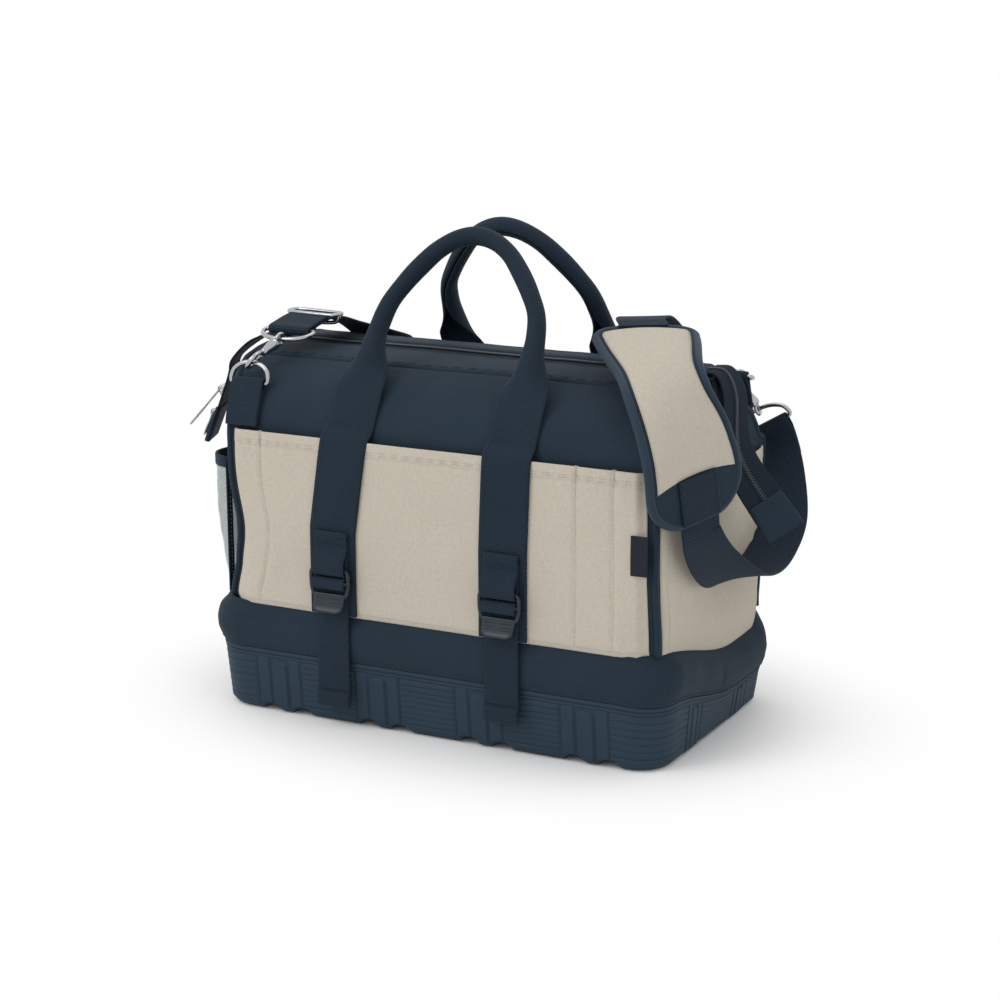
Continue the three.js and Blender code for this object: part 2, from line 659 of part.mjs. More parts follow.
// Ladder-lock buckle: a frame with two slots and a tongue that tips outwards.
function buckle(x) {
  const half = BUCKLE_WIDTH / 2;
  const top = BUCKLE_AXIS + BUCKLE_BAR / 2;
  const foot = top - 3 * BUCKLE_BAR - 2 * BUCKLE_SLOT;
  const frame = new THREE.Shape().moveTo(-half + 3, top).lineTo(half - 3, top);
  frame.quadraticCurveTo(half, top, half, top - 3).lineTo(half - 2, foot);
  frame.lineTo(-half + 2, foot).lineTo(-half, top - 3).quadraticCurveTo(-half, top, -half + 3, top);
  const slot = WEB_NARROW / 2 + 1;
  for (const k of [0, 1]) {
    const high = top - BUCKLE_BAR - k * (BUCKLE_SLOT + BUCKLE_BAR);
    const hole = new THREE.Path().moveTo(-slot, high).lineTo(-slot, high - BUCKLE_SLOT);
    frame.holes.push(hole.lineTo(slot, high - BUCKLE_SLOT).lineTo(slot, high));
  }
  const plate = alongY(frame, -BUCKLE_BAR / 2, BUCKLE_BAR / 2);
  const lip = alongX([[-2, foot + 1], [-2 - TONGUE * 0.35, foot - TONGUE], [-TONGUE * 0.35, foot - TONGUE - 1],
    [2, foot + 1]], -half + 6, half - 6);
  return shifted(join(plate, lip), x, buckleY, 0);
}

// Free end of a lashing strap: threaded over the middle bar, then hanging behind the tongue.
function strapTail(x, foot) {
  const bar = BUCKLE_AXIS - BUCKLE_BAR - BUCKLE_SLOT;
  const inner = BUCKLE_BAR / Math.SQRT2 + RUN;
  const outer = inner + 2;
  const outline = [[buckleY + outer, foot], [buckleY + outer, bar]];
  for (let k = 1; k <= 6; k++) {
    const a = Math.PI * k / 6;
    outline.push([buckleY + outer * Math.cos(a), bar + outer * Math.sin(a)]);
  }
  outline.push([buckleY - outer, bar - 5], [buckleY - inner, bar - 5]);
  for (let k = 6; k >= 0; k--) {
    const a = Math.PI * k / 6;
    outline.push([buckleY + inner * Math.cos(a), bar + inner * Math.sin(a)]);
  }
  outline.push([buckleY + inner, foot]);
  return alongX(outline, x - WEB_NARROW / 2, x + WEB_NARROW / 2);
}

// Handle: two flat legs that fold into a rounded grip, leaning towards the middle of the bag.
const pivotY = stripCentre(PIVOT_HEIGHT) - WEB_THICK * 1.3 - GAP;

function handle() {
  const mid = (STRIP_TOP.left + STRIP_TOP.right) / 2;
  const reach = (STRIP_TOP.right - STRIP_TOP.left) / 2;
  const rise = GRIP_HEIGHT - LEG_BEND;
  const legTop = -GRIP_LEAN - rise * 0.5;
  const points = [];
  points.push([-1, PIVOT_HEIGHT, pivotY], [-1.02, (PIVOT_HEIGHT + LEG_BEND) / 2, (pivotY + legTop) / 2]);
  for (let k = 0; k <= 4; k++) {
    const a = Math.PI / 2 * k / 4;
    points.push([-1.06 * Math.cos(a), LEG_BEND + rise * Math.sin(a), legTop + (rise * 0.5) * Math.sin(a)]);
  }
  const left = points.map(([s, z, y]) => new V3(mid + s * reach, y, z));
  const right = points.slice(0, -1).reverse().map(([s, z, y]) => new V3(mid - s * reach, y, z));
  const spine = new THREE.CatmullRomCurve3([...left, ...right], false, 'centripetal');
  const steps = 24;
  const slope = (legTop - pivotY) / (LEG_BEND - PIVOT_HEIGHT);
  const face = new V3(0, -1, slope).normalize();
  const rings = [];
  for (let k = 0; k <= steps; k++) {
    const u = k / steps;
    const centre = spine.getPointAt(u);
    const along = spine.getTangentAt(u);
    const up = face.clone().addScaledVector(along, -face.dot(along)).normalize();
    const across = new V3().crossVectors(up, along);
    const fold = THREE.MathUtils.smoothstep(centre.z, LEG_BEND - 32, LEG_BEND + 6);
    const wide = THREE.MathUtils.lerp(WEB_WIDE / 2, GRIP_WIDE, fold);
    const thick = THREE.MathUtils.lerp(WEB_THICK / 2, GRIP_THICK, fold);
    rings.push(bandRing(centre, across, up, wide, thick, true));
  }
  return loft(rings);
}

// D-shaped ring: a straight bar on the across axis and a bow that reaches out along the pull.
function dRing({ bar, across, pull }, size) {
  const corner = [[0.43, 0], [0.485, 0.06], [0.5, 0.2]];
  const bow = [1, 2, 3, 4, 5, 6].map((k) => Math.PI * k / 7)
    .map((a) => [0.5 * Math.cos(a), 0.25 + 0.75 * Math.sin(a)]);
  const outline = [...corner, ...bow, ...corner.map(([a, p]) => [-a, p]).reverse()];
  const centres = outline.map(([a, p]) => bar.clone()
    .addScaledVector(across, a * size.width).addScaledVector(pull, p * size.depth));
  const normal = new V3().crossVectors(across, pull);
  const rings = centres.map((centre, k) => {
    const along = centres[(k + 1) % centres.length].clone().sub(centres.at(k - 1)).normalize();
    const inward = new V3().crossVectors(normal, along);
    return circle(RING_WIRE, 6).map((p) => centre.clone()
      .addScaledVector(normal, p.x).addScaledVector(inward, p.y));
  });
  return loft(rings, true);
}

// Webbing tab sewn to the front panel, with its upper end folded round the bar of a ring.
const ringBore = RING_WIRE + RUN;
const [barY, barZ] = offSurface(TAB_TOP, ringBore + STRAP_THICK + 2 * GAP);

function ringTab() {
  const steps = [0, 1, 2, 3, 4, 5].map((k) => TAB_FOOT + (TAB_TOP - TAB_FOOT) * k / 5);
  const near = steps.map((z) => offSurface(z, 2 * GAP));
  const far = steps.map((z) => offSurface(z, 2 * GAP + STRAP_THICK)).reverse();
  const [from, to] = [TAB_X - TAB_WIDTH / 2, TAB_X + TAB_WIDTH / 2];
  const round = (radius) => circle(radius, 12).map((p) => [barY + p.x, barZ + p.y]);
  return cut(join(alongX([...near, ...far], from, to), alongX(round(ringBore + STRAP_THICK), from, to)),
    alongX(round(ringBore), from - 1, to + 1));
}

// Frame of a hook: z from its bow to its eye, x towards its nose, origin at the middle of the bow.
// The ring that it holds passes through the grip point.
function hookFrame(grip, along, nose) {
  const z = along.clone().normalize();
  const x = nose.clone().addScaledVector(z, -nose.dot(z)).normalize();
  const inner = HOOK_ARC - HOOK_WIRE - RING_WIRE - RING_PLAY;
  const origin = grip.clone().addScaledVector(z, inner);
  return new THREE.Matrix4().makeBasis(x, new V3().crossVectors(z, x), z).setPosition(origin);
}

// Revolved outline of [radius, height] points about the z axis.
function revolved(outline, sides) {
  const turned = new THREE.LatheGeometry(outline.map(([r, z]) => new THREE.Vector2(r, z)), sides);
  turned.rotateX(Math.PI / 2);
  turned.deleteAttribute('normal');
  turned.deleteAttribute('uv');
  return outward(mergeVertices(turned, 1e-4));
}

// Bow and shank of round wire, rising into a barrel that is bored for the stem of the eye.
function hookBody() {
  const points = [[HOOK_ARC, NOSE_TOP]];
  for (let k = 0; k <= 6; k++) {
    const a = Math.PI * k / 6;
    points.push([HOOK_ARC * Math.cos(a), -HOOK_ARC * Math.sin(a)]);
  }
  points.push([-HOOK_ARC * 0.85, 6], [-HOOK_ARC * 0.3, 12], [0, BARREL.start + 3]);
  const path = new THREE.CatmullRomCurve3(points.map(([x, z]) => new V3(x, 0, z)), false, 'centripetal');
  const { start, length, thin, thick } = BARREL;
  const top = start + length;
  const bore = EYE.stem + GAP;
  const barrel = revolved([[0, start], [thin, start], [thick, top - 4], [thick, top], [bore, top],
    [bore, top - BARREL.bore], [0, top - BARREL.bore]], 12);
  return join(wire(path, HOOK_WIRE, 18, 6), barrel);
}

// Swivel eye: a ring on a stem that turns in the barrel.
const eyeCentre = BARREL.start + BARREL.length + GAP + EYE.wire + EYE.radius;

function swivelEye() {
  const ring = new THREE.TorusGeometry(EYE.radius, EYE.wire, 6, 14).rotateX(Math.PI / 2);
  const low = BARREL.start + BARREL.length - BARREL.bore + GAP;
  const high = eyeCentre - EYE.radius;
  const stem = new THREE.CylinderGeometry(EYE.stem, EYE.stem, high - low, 8).rotateX(Math.PI / 2);
  return join(shifted(ring, 0, 0, eyeCentre), shifted(stem, 0, 0, (low + high) / 2));
}

// Sprung gate: a short bar from its pivot by the barrel to the tip of the nose.
const gatePivot = new V3(2.4, 0, BARREL.start - GATE_WIRE - 0.2);

function hookGate() {
  const run = new V3(HOOK_ARC, 0, NOSE_TOP + GAP).sub(gatePivot);
  const path = new THREE.LineCurve3(gatePivot.clone(), gatePivot.clone().addScaledVector(run, 0.82));
  return new THREE.ExtrudeGeometry(new THREE.Shape(circle(GATE_WIRE, 6)), { extrudePath: path, steps: 1 });
}

// A chain is the bag ring, the hook, its eye and the strap ring, each from where it pulls.
function chain(bar, ringPull, hookPull, nose, strapPull, strapAcross) {
  const ring = { bar, across: new V3(1, 0, 0), pull: unit(ringPull) };
  const grip = bar.clone().addScaledVector(ring.pull, BAG_RING.depth);
  const frame = hookFrame(grip, vec(hookPull), vec(nose));
  const eye = new V3(0, 0, eyeCentre).applyMatrix4(frame);
  const pull = unit(strapPull);
  const across = vec(strapAcross).addScaledVector(pull, -vec(strapAcross).dot(pull)).normalize();
  const strapBar = eye.clone().addScaledVector(pull, STRAP_RING.depth);
  const strapRing = { bar: strapBar, across, pull: pull.clone().negate() };
  const eyeFrame = hookFrame(grip, vec(hookPull), new V3().crossVectors(across, vec(hookPull)));
  return { ring, frame, eyeFrame, strapRing };
}

function unit(values) {
  return vec(values).normalize();
}

const leftChain = chain(new V3(TAB_X, barY, barZ), [0, 0.25, 0.95], [0.25, 0.87, 0.42],
  [-0.6, 0.34, -0.7], [0, 0.95, 0.3], [1, 0, 0]);
const rightChain = chain(new V3(-TAB_X, -barY, barZ), [0, 0.95, -0.3], [0.35, 0.45, -0.82],
  [0.5, 0.8, 0.35], [0.5, 0.2, -0.84], [0.83, 0, 0.49]);

// Strap webbing that starts with a sewn loop round the bar of its ring.
function strapWebbing(strapRing, stations, steps) {
  const { bar, across, pull } = strapRing;
  const [inner, outer] = [ringBore, ringBore + STRAP_THICK];
  const tube = revolved([[inner, -STRAP_HALF], [outer, -STRAP_HALF], [outer, STRAP_HALF],
    [inner, STRAP_HALF], [inner, -STRAP_HALF]], 12);
  const loop = place(tube, new THREE.Matrix4().makeBasis(pull, new V3().crossVectors(across, pull), across)
    .setPosition(bar));
  const lead = [(inner + outer) / 2, outer + STRAP_THICK].map((reach) => (
    [...bar.clone().addScaledVector(pull, -reach).toArray(), ...across.toArray()]));
  return join(band([...lead, ...stations], () => [STRAP_HALF, STRAP_THICK / 2], steps), loop);
}

// Stations [x, y, z, width direction], with their places in percent of the length, depth and height of
// the body.
function onBag(stations) {
  return stations.map(([x, y, z, ...wide]) => (
    [x * BODY_LENGTH / 100, y * BODY_DEPTH / 100, z * BODY_HEIGHT / 100, ...wide]));
}

// Routes of the strap. The webbing meets the pad end to end.
const longStrapRoute = onBag([
  [-39.66, -7.46, 107.78, 1, 0, 0], [-37.97, 11.19, 106.93, 1, 0.1, -0.1],
  [-34.81, 33.58, 104.1, 0.75, 0.6, -0.1], [-29.54, 54.1, 94.77, 0.3, 0.95, 0],
  [-21.1, 65.3, 82.04, 0, 1, 0], [0, 66.42, 72.14, 0, 1, 0], [17.72, 66.04, 76.94, 0, 1, 0],
  [26.37, 55.97, 93.35, 0.5, 0.85, 0], [28.9, 27.99, 108.91, 0.8, 0.55, 0],
  [31.75, 6.72, 112.16, 0.85, 0.55, 0], [34.22, 0.37, 111.63, 0.82, 0.57, 0],
]);
const padRoute = onBag([
  [34.39, 0, 111.46, 0.82, 0.57, 0], [49.16, -38.81, 100.99, 0.55, 0.8, 0.2],
  [54.85, -41.42, 86, 0.45, 0.9, 0], [56.54, -38.43, 68.18, 0.4, 0.92, 0],
]);
const rightStrapRoute = onBag([
  [53.8, 55.97, 63.65, 0.95, 0.3, 0], [58.02, 47.76, 52.33, 0.95, 0.3, 0],
  [59.92, 31.72, 44.7, 0.9, 0.4, 0], [60.13, 13.06, 41.87, 0.7, 0.7, 0],
  [59.7, -7.46, 43.56, 0.55, 0.85, 0], [58.44, -26.12, 51.49, 0.4, 0.92, 0],
  [57.07, -37.5, 62.23, 0.4, 0.92, 0], [56.6, -38.36, 67.78, 0.4, 0.92, 0],
]);

// Shaped pad: broad ends, a waist between them, and thin rounded edges.
function shoulderPad() {
  const size = (u) => {
    const share = Math.sin(Math.PI * u) ** 2;
    const taper = Math.sqrt(Math.sin(Math.PI * Math.min(1, Math.max(0, 0.02 + 0.96 * u))));
    return [PAD.end - (PAD.end - PAD.waist) * share, 1.5 + (PAD.thick - 1.5) * Math.min(1, 1.3 * taper)];
  };
  return band(padRoute, size, 18, true);
}

// Slide adjuster: a round wire frame under the strap with a bar that crosses over it.
function adjuster(centre, along, across) {
  const up = new V3().crossVectors(along, across);
  const at = (a, b, c) => centre.clone().addScaledVector(along, a).addScaledVector(across, b).addScaledVector(up, c);
  const { half, reach, wire: radius, lift } = ADJUSTER;
  const corners = [[-reach, -half + 3], [-reach + 3, -half], [reach - 3, -half], [reach, -half + 3],
    [reach, half - 3], [reach - 3, half], [-reach + 3, half], [-reach, half - 3]];
  const frame = new THREE.CatmullRomCurve3(corners.map(([a, b]) => at(a, b, -lift)), true, 'centripetal');
  const over = [[-half, -lift], [-half, 0], [-half + 3, lift], [half - 3, lift], [half, 0], [half, -lift]];
  const bar = new THREE.CatmullRomCurve3(over.map(([b, c]) => at(0, b, c)), false, 'centripetal');
  return join(wire(frame, radius, 16, 6), wire(bar, radius, 10, 6));
}

// Loose end of the zip: its tape hangs over the end of the bag and ends in a folded tab.
const tailStart = [panelLength / 2 - 1.5, BODY_HEIGHT - CANVAS / 2 + PIPING + TAPE_TAIL.thick + GAP];

function zipTail(stations) {
  const size = (u) => (u > END_TAB.share ? [END_TAB.half, END_TAB.thick] : [TAPE_TAIL.half, TAPE_TAIL.thick]);
  return band(stations, size, 24);
}

// The first two stations lead a tail level over the piping.
function tailLead(side) {
  const [x, z] = tailStart;
  return [[side * x, 0, z, 0, 1, 0], [side * (x + 4.5 * PIPING), 0, z - 1, 0, 1, 0]];
}

const leftTailHang = onBag([
  [-55.7, -3.36, 98.73, -0.1, 1, 0], [-60.11, -7.01, 93.35, -0.3, 0.95, 0],
  [-60.76, -7.46, 90.52, -0.35, 0.93, 0], [-62.87, -8.96, 81.47, -0.35, 0.93, 0],
  [-65.63, -10.9, 69.59, -0.35, 0.93, 0],
]);
const rightTailHang = onBag([
  [54.01, 1.49, 95.62, 0.1, 1, 0], [57.17, 2.99, 76.38, 0.2, 0.9, 0.3],
  [65.82, 1.49, 59.97, 0.3, 0.85, 0.4],
]);
const leftTailRoute = [...tailLead(-1), ...leftTailHang];
const rightTailRoute = [...tailLead(1), ...rightTailHang];

// Frame on the outer face of the left tail at a distance down its straight stretch: x runs down
// the tail, z away from it.
function tailFrame(distance) {
  const [high, low] = leftTailRoute.slice(-2).map((s) => vec(s));
  const down = low.clone().sub(high).normalize();
  const wide = vec(leftTailRoute.at(-1).slice(3)).negate();
  wide.addScaledVector(down, -wide.dot(down)).normalize();
  const out = new V3().crossVectors(down, wide);
  const origin = high.clone().addScaledVector(down, distance).addScaledVector(out, TAPE_TAIL.thick + GAP);
  return new THREE.Matrix4().makeBasis(down, wide, out).setPosition(origin);
}

const pivotRise = SLIDER.plate + SLIDER.bail - 2 * SLIDER.hole;

// Slider: a pointed plate with an upright bail that is bored for the pull.
function zipSlider() {
  const [l, w] = [SLIDER.length / 2, SLIDER.width / 2];
  const plan = new THREE.Shape([[-l, -w * 0.6], [0, -w], [l, -w * 0.7], [l, w * 0.7], [0, w], [-l, w * 0.6]]
    .map(([x, y]) => new THREE.Vector2(x, y)));
  const plate = new THREE.ExtrudeGeometry(plan, { depth: SLIDER.plate, bevelEnabled: false });
  const bail = block([-3, -1.2, SLIDER.plate / 2], [3, 1.2, SLIDER.plate + SLIDER.bail]);
  const hole = new THREE.CylinderGeometry(SLIDER.hole, SLIDER.hole, 4, 8);
  return cut(join(plate, bail), shifted(hole, 0, 0, pivotRise));
}

// Pull: a pin through the bail, two cheeks, a rod and a long open loop, hanging down along x.
function zipPull(length) {
  const { half, pin, rod, frame } = PULL;
  const pinBar = new THREE.CylinderGeometry(pin, pin, 2 * half - 1, 6);
  const neck = [[0, -half + 1], [4, -half + 1], [8, -1.4], [length * 0.45, -1.4], [length * 0.5, -half],
    [length - 3, -half], [length, -half + 3]];
  const outline = [...neck, ...neck.map(([x, y]) => [x, -y]).reverse()];
  const plate = new THREE.Shape(outline.map(([x, y]) => new THREE.Vector2(x, y)));
  const window = new THREE.Path([[length * 0.55, -half + frame], [length - 3, -half + frame], [length - 3, half - frame],
    [length * 0.55, half - frame]].map(([x, y]) => new THREE.Vector2(x, y)));
  const fork = new THREE.Path([[-1, -1.9], [4.5, -1.9], [4.5, 1.9], [-1, 1.9]]
    .map(([x, y]) => new THREE.Vector2(x, y)));
  plate.holes.push(window);
  const flat = new THREE.ExtrudeGeometry(plate, { depth: 2 * rod, bevelEnabled: false });
  const slot = new THREE.ExtrudeGeometry(new THREE.Shape(fork.getPoints()), { depth: 8, bevelEnabled: false });
  return join(cut(shifted(flat, 0, 0, -rod), shifted(slot, 0, 0, -4)), pinBar);
}

// Where a pull hangs: at the bore of its bail, swung out from the tail by an angle.
function pullFrame(slider, swing) {
  return slider.clone().multiply(new THREE.Matrix4().makeTranslation(0, 0, pivotRise))
    .multiply(new THREE.Matrix4().makeRotationY(-swing));
}

const finish = { navy: [NAVY, 0.85], web: [NAVY_WEB, 0.9], chrome: [CHROME, 0.18, 1] };

add('base_tub', baseTub(), RUBBER, 0.55);
add('floor_board', floorBoard(), BLACK, 0.8);
add('lower_band', lowerBand(), ...finish.navy);
add('front_panel', frontPanel(), ...finish.navy);
add('back_panel', halfTurn(frontPanel()), ...finish.navy);
add('front_top_flap', topFlap(), ...finish.navy);
add('back_top_flap', halfTurn(topFlap()), ...finish.navy);
add('right_end_panel', endPanel(), ...finish.navy);
add('left_end_panel', halfTurn(endPanel()), ...finish.navy);
add('right_piping', piping(), ...finish.navy);
add('left_piping', halfTurn(piping()), ...finish.navy);
add('front_zip_half', zipHalf(), BLACK, 0.6);
add('back_zip_half', halfTurn(zipHalf()), BLACK, 0.6);
add('front_pockets', sidePockets(), BEIGE, 0.95);
add('back_pockets', halfTurn(sidePockets()), BEIGE, 0.95);
add('right_end_pocket', endPocket(END_POCKET_TOP, POCKET_SPACE + POCKET_CLOTH), BEIGE, 0.95);
add('left_mesh_pocket', halfTurn(endPocket(MESH_TOP, MESH_BULGE)), MESH_GREY, 0.8);
add('blank_tag', tag(), BLACK, 0.7);

for (const side of ['left', 'right']) {
  const across = side === 'left' ? 'right' : 'left';
  const x = stripX(side, BUCKLE_AXIS);
  add(`front_${side}_webbing`, webbingStrip(side), ...finish.web);
  add(`back_${across}_webbing`, halfTurn(webbingStrip(side)), ...finish.web);
  add(`front_${side}_buckle`, buckle(x), BLACK, 0.4);
  add(`back_${across}_buckle`, halfTurn(buckle(x)), BLACK, 0.4);
  add(`front_${side}_tail`, strapTail(x, TAIL_FOOT[side]), ...finish.web);
  add(`back_${across}_tail`, halfTurn(strapTail(x, TAIL_FOOT[side])), ...finish.web);
}

add('front_handle', handle(), ...finish.web);
add('back_handle', halfTurn(handle()), ...finish.web);

add('left_ring_tab', ringTab(), ...finish.web);
add('right_ring_tab', halfTurn(ringTab()), ...finish.web);
for (const [side, { ring, frame, eyeFrame, strapRing }] of [['left', leftChain], ['right', rightChain]]) {
  add(`${side}_bag_ring`, dRing(ring, BAG_RING), ...finish.chrome);
  add(`${side}_hook`, place(hookBody(), frame), ...finish.chrome);
  add(`${side}_hook_gate`, place(hookGate(), frame), ...finish.chrome);
  add(`${side}_swivel_eye`, place(swivelEye(), eyeFrame), ...finish.chrome);
  add(`${side}_strap_ring`, dRing(strapRing, STRAP_RING), ...finish.chrome);
}
add('shoulder_strap', strapWebbing(leftChain.strapRing, longStrapRoute, 30), ...finish.web);
add('shoulder_pad', shoulderPad(), ...finish.navy);
add('right_strap', strapWebbing(rightChain.strapRing, rightStrapRoute, 20), ...finish.web);
add('strap_adjuster', adjuster(vec(longStrapRoute[0]), new V3(0.1, 0.99, 0), new V3(1, -0.1, 0)),
  ...finish.chrome);

add('left_zip_tail', zipTail(leftTailRoute), ...finish.navy);
add('right_zip_tail', zipTail(rightTailRoute), ...finish.navy);
for (const [name, { down, pull, swing }] of Object.entries(SLIDER_PLACES)) {
  const slider = tailFrame(down);
  add(`${name}_zip_slider`, place(zipSlider(), slider), ...finish.chrome);
  const hung = pullFrame(slider, THREE.MathUtils.degToRad(swing));
  add(`${name}_zip_pull`, place(zipPull(pull), hung), ...finish.chrome);
}

export default bag;
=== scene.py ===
import json
import math

import bpy
import numpy as np
from mathutils import Matrix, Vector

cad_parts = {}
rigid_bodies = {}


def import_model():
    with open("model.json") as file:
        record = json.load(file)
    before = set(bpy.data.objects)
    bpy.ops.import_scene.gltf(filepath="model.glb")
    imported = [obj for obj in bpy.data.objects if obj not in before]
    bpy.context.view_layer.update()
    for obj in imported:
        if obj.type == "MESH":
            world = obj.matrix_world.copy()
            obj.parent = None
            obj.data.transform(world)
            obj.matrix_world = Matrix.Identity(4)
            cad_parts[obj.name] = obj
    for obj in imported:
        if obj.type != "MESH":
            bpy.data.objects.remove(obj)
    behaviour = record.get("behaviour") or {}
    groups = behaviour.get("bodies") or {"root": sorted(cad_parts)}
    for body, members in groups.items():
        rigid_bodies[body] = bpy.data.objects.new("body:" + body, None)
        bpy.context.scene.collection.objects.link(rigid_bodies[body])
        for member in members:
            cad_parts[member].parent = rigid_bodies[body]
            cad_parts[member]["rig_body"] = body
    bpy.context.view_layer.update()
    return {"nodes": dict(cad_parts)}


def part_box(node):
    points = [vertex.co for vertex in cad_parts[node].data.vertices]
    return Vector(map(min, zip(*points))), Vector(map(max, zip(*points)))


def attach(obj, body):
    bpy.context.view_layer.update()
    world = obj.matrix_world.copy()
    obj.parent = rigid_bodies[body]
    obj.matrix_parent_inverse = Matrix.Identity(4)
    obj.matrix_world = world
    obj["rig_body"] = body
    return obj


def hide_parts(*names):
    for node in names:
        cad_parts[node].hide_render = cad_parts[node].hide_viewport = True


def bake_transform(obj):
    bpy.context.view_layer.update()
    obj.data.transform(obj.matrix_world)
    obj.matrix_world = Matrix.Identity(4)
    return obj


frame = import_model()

bl_info = {
    "name": "Zippered tool bag",
    "version": (1, 0, 0),
    "blender": (4, 5, 0),
    "location": "View3D > Sidebar > Tool bag",
    "description": "Dresses the frame of a zippered tool bag: ribbed tub, canvas, pockets, webbing, rings and pad",
    "category": "Object",
}

MM = 0.001
ALONG, FORWARD, UPWARD = np.array([1.0, 0, 0]), np.array([0.0, -1, 0]), np.array([0.0, 0, 1])

# Sizes of the frame, in millimetres. The front face looks along -Y.
TUB_LENGTH, TUB_DEPTH, TUB_HEIGHT, TUB_DIP = 488, 280, 66, 22
TUB_WALL, TUB_CORNER, FOOT_CORNER = 3.5, 38, 33
SIDE_DRAFT, END_DRAFT, FOOT_ROUND = 7, 5, 6
LIP_STEP, RIB_STEP, RIB_TOP, RIB_FOOT = 2, 1.5, 0.8, 4
CORNER_PITCH, MIDDLE_PITCH = 7.4, 5.8
ZONE_WIDTH, ZONE_PITCH = 50, 111
ZONES = (-166.5, -55.5, 55.5, 166.5)
BODY_LENGTH, BODY_DEPTH, BODY_HEIGHT = 474, 268, 353.5
BAND_TOP, SHOULDER = 112, 240
PIPING, HEM, ZIP_TAPE = 3.2, 66, 16
POCKET_TOP, POCKET_OUT, POCKET_LENGTH = 285, 8.5, 452
PEN_SEAM, TOOL_SEAM, EDGE_SEAM = -192, 158, 196
END_POCKET_TOP, MESH_TOP, MESH_BULGE = 262, 246, 36
WEB_THICK, WEB_NARROW = 2.6, 36
STRIP_FOOT = {"left": -98, "right": 85}
STRIP_TOP = {"left": -80, "right": 90}
PIVOT_HEIGHT, GRIP_HEIGHT, LEG_BEND, GRIP_LEAN = 318, 474, 397, 37
BUCKLE_AXIS, BUCKLE_Y, FRONT_FACE = 160, -151.7, -145.7
BUCKLE_WIDTH, BUCKLE_BAR, BUCKLE_SLOT, TONGUE, SEWN_TOP = 45, 4, 8, 17, 197
TAIL_FOOT = {"left": 22, "right": 34}
TAB_X, TAB_WIDTH, TAB_FOOT, TAB_TOP = -204, 36, 289, 325
RING_WIRE, RUN, GAP = 2.2, 0.4, 0.3
STRAP_HALF, STRAP_THICK = 23.5, 2.4
PAD_HALF, WAIST_DEPTH, WAIST_AT, WAIST_SPREAD, PAD_SWELL = 49.5, 12.5, 0.45, 0.27, 6
PAD_TOP_CORNER, PAD_FOOT_CORNER, COVER_START, COVER_END, PATCH_START = 20.0, 36.0, 0.035, 0.85, 0.835
HOOK_ARC, NOSE_TOP, BARREL_START, BARREL_LENGTH = 9, 6.5, 12, 19
EYE_RADIUS, EYE_WIRE, GATE_WIRE, RING_PLAY = 5.2, 1.8, 1.6, 0.9

LONG_STRAP = [[-188, -20, 381, 1, 0, 0], [-187, 30, 370, 1, .05, -.1], [-183, 82, 349, .9, .4, -.1],
              [-172, 126, 316, .5, .85, 0], [-140, 157, 278, 0, 1, 0], [0, 172, 250, 0, 1, 0],
              [84, 175, 268, 0, 1, 0], [125, 150, 330, .5, .85, 0], [137, 75, 385, .8, .55, 0],
              [150.5, 18, 396.5, .85, .55, 0], [162.2, 1, 394.6, .82, .57, 0]]
PAD_ROUTE = [[160, 0, 394, .82, .57, 0], [231, -104, 357, .55, .8, .2], [257, -111, 304, .45, .9, 0],
             [264, -103, 241, .4, .92, 0]]
RIGHT_STRAP = [[250, 146, 225, .95, .3, 0], [262, 122, 190, .95, .3, 0], [266, 82, 168, .9, .4, 0],
               [268, 35, 160, .7, .7, 0], [269, -20, 166, .55, .85, 0], [267, -70, 190, .4, .92, 0],
               [265.5, -100.5, 222, .4, .92, 0], [264.3, -102.8, 239.6, .4, .92, 0]]
LEFT_TAIL = [[-228.8, 0, 357.25, 0, 1, 0], [-243.2, 0, 356.25, 0, 1, 0], [-264, -9, 349, -.1, 1, 0],
             [-284.9, -18.8, 330, -.3, .95, 0], [-288, -20, 320, -.35, .93, 0],
             [-298, -24, 288, -.35, .93, 0], [-311.1, -29.2, 246, -.35, .93, 0]]
RIGHT_TAIL = [[228.8, 0, 357.25, 0, 1, 0], [243.2, 0, 356.25, 0, 1, 0], [253, 0, 340, .1, 1, 0],
              [263, -5, 280, .2, .9, .3], [310, -4, 209, .4, .8, .45]]


# Numbers

def smooth(a, b, x):
    """Smooth step: 0 below a, 1 above b, 3t^2 - 2t^3 between."""
    t = np.clip((np.asarray(x, float) - a) / (b - a), 0, 1)
    return t * t * (3 - 2 * t)


def unit(v):
    v = np.asarray(v, float)
    return v / np.maximum(np.linalg.norm(v, axis=-1, keepdims=True), 1e-9)


def bump(x, centre, width):
    """Bell of height 1 about a centre."""
    return np.exp(-((np.asarray(x, float) - centre) / width) ** 2)


def ripples(x, z, seed=0.0, length=60.0):
    """Soft unevenness between -1 and 1: a sum of slanted sine waves of falling length."""
    total = 0
    for k, (angle, share) in enumerate(((0.4, 1.0), (1.9, 0.8), (2.7, 0.55), (0.9, 0.4), (1.3, 0.3))):
        a = angle + seed * 1.7
        wave = length * share
        total = total + share * np.sin((x * math.cos(a) + z * math.sin(a)) * 2 * math.pi / wave
                                       + 1.3 * np.sin(z / length * 2.1 + seed + k) + seed * 3 + k * 2.1)
    return total / 3.05


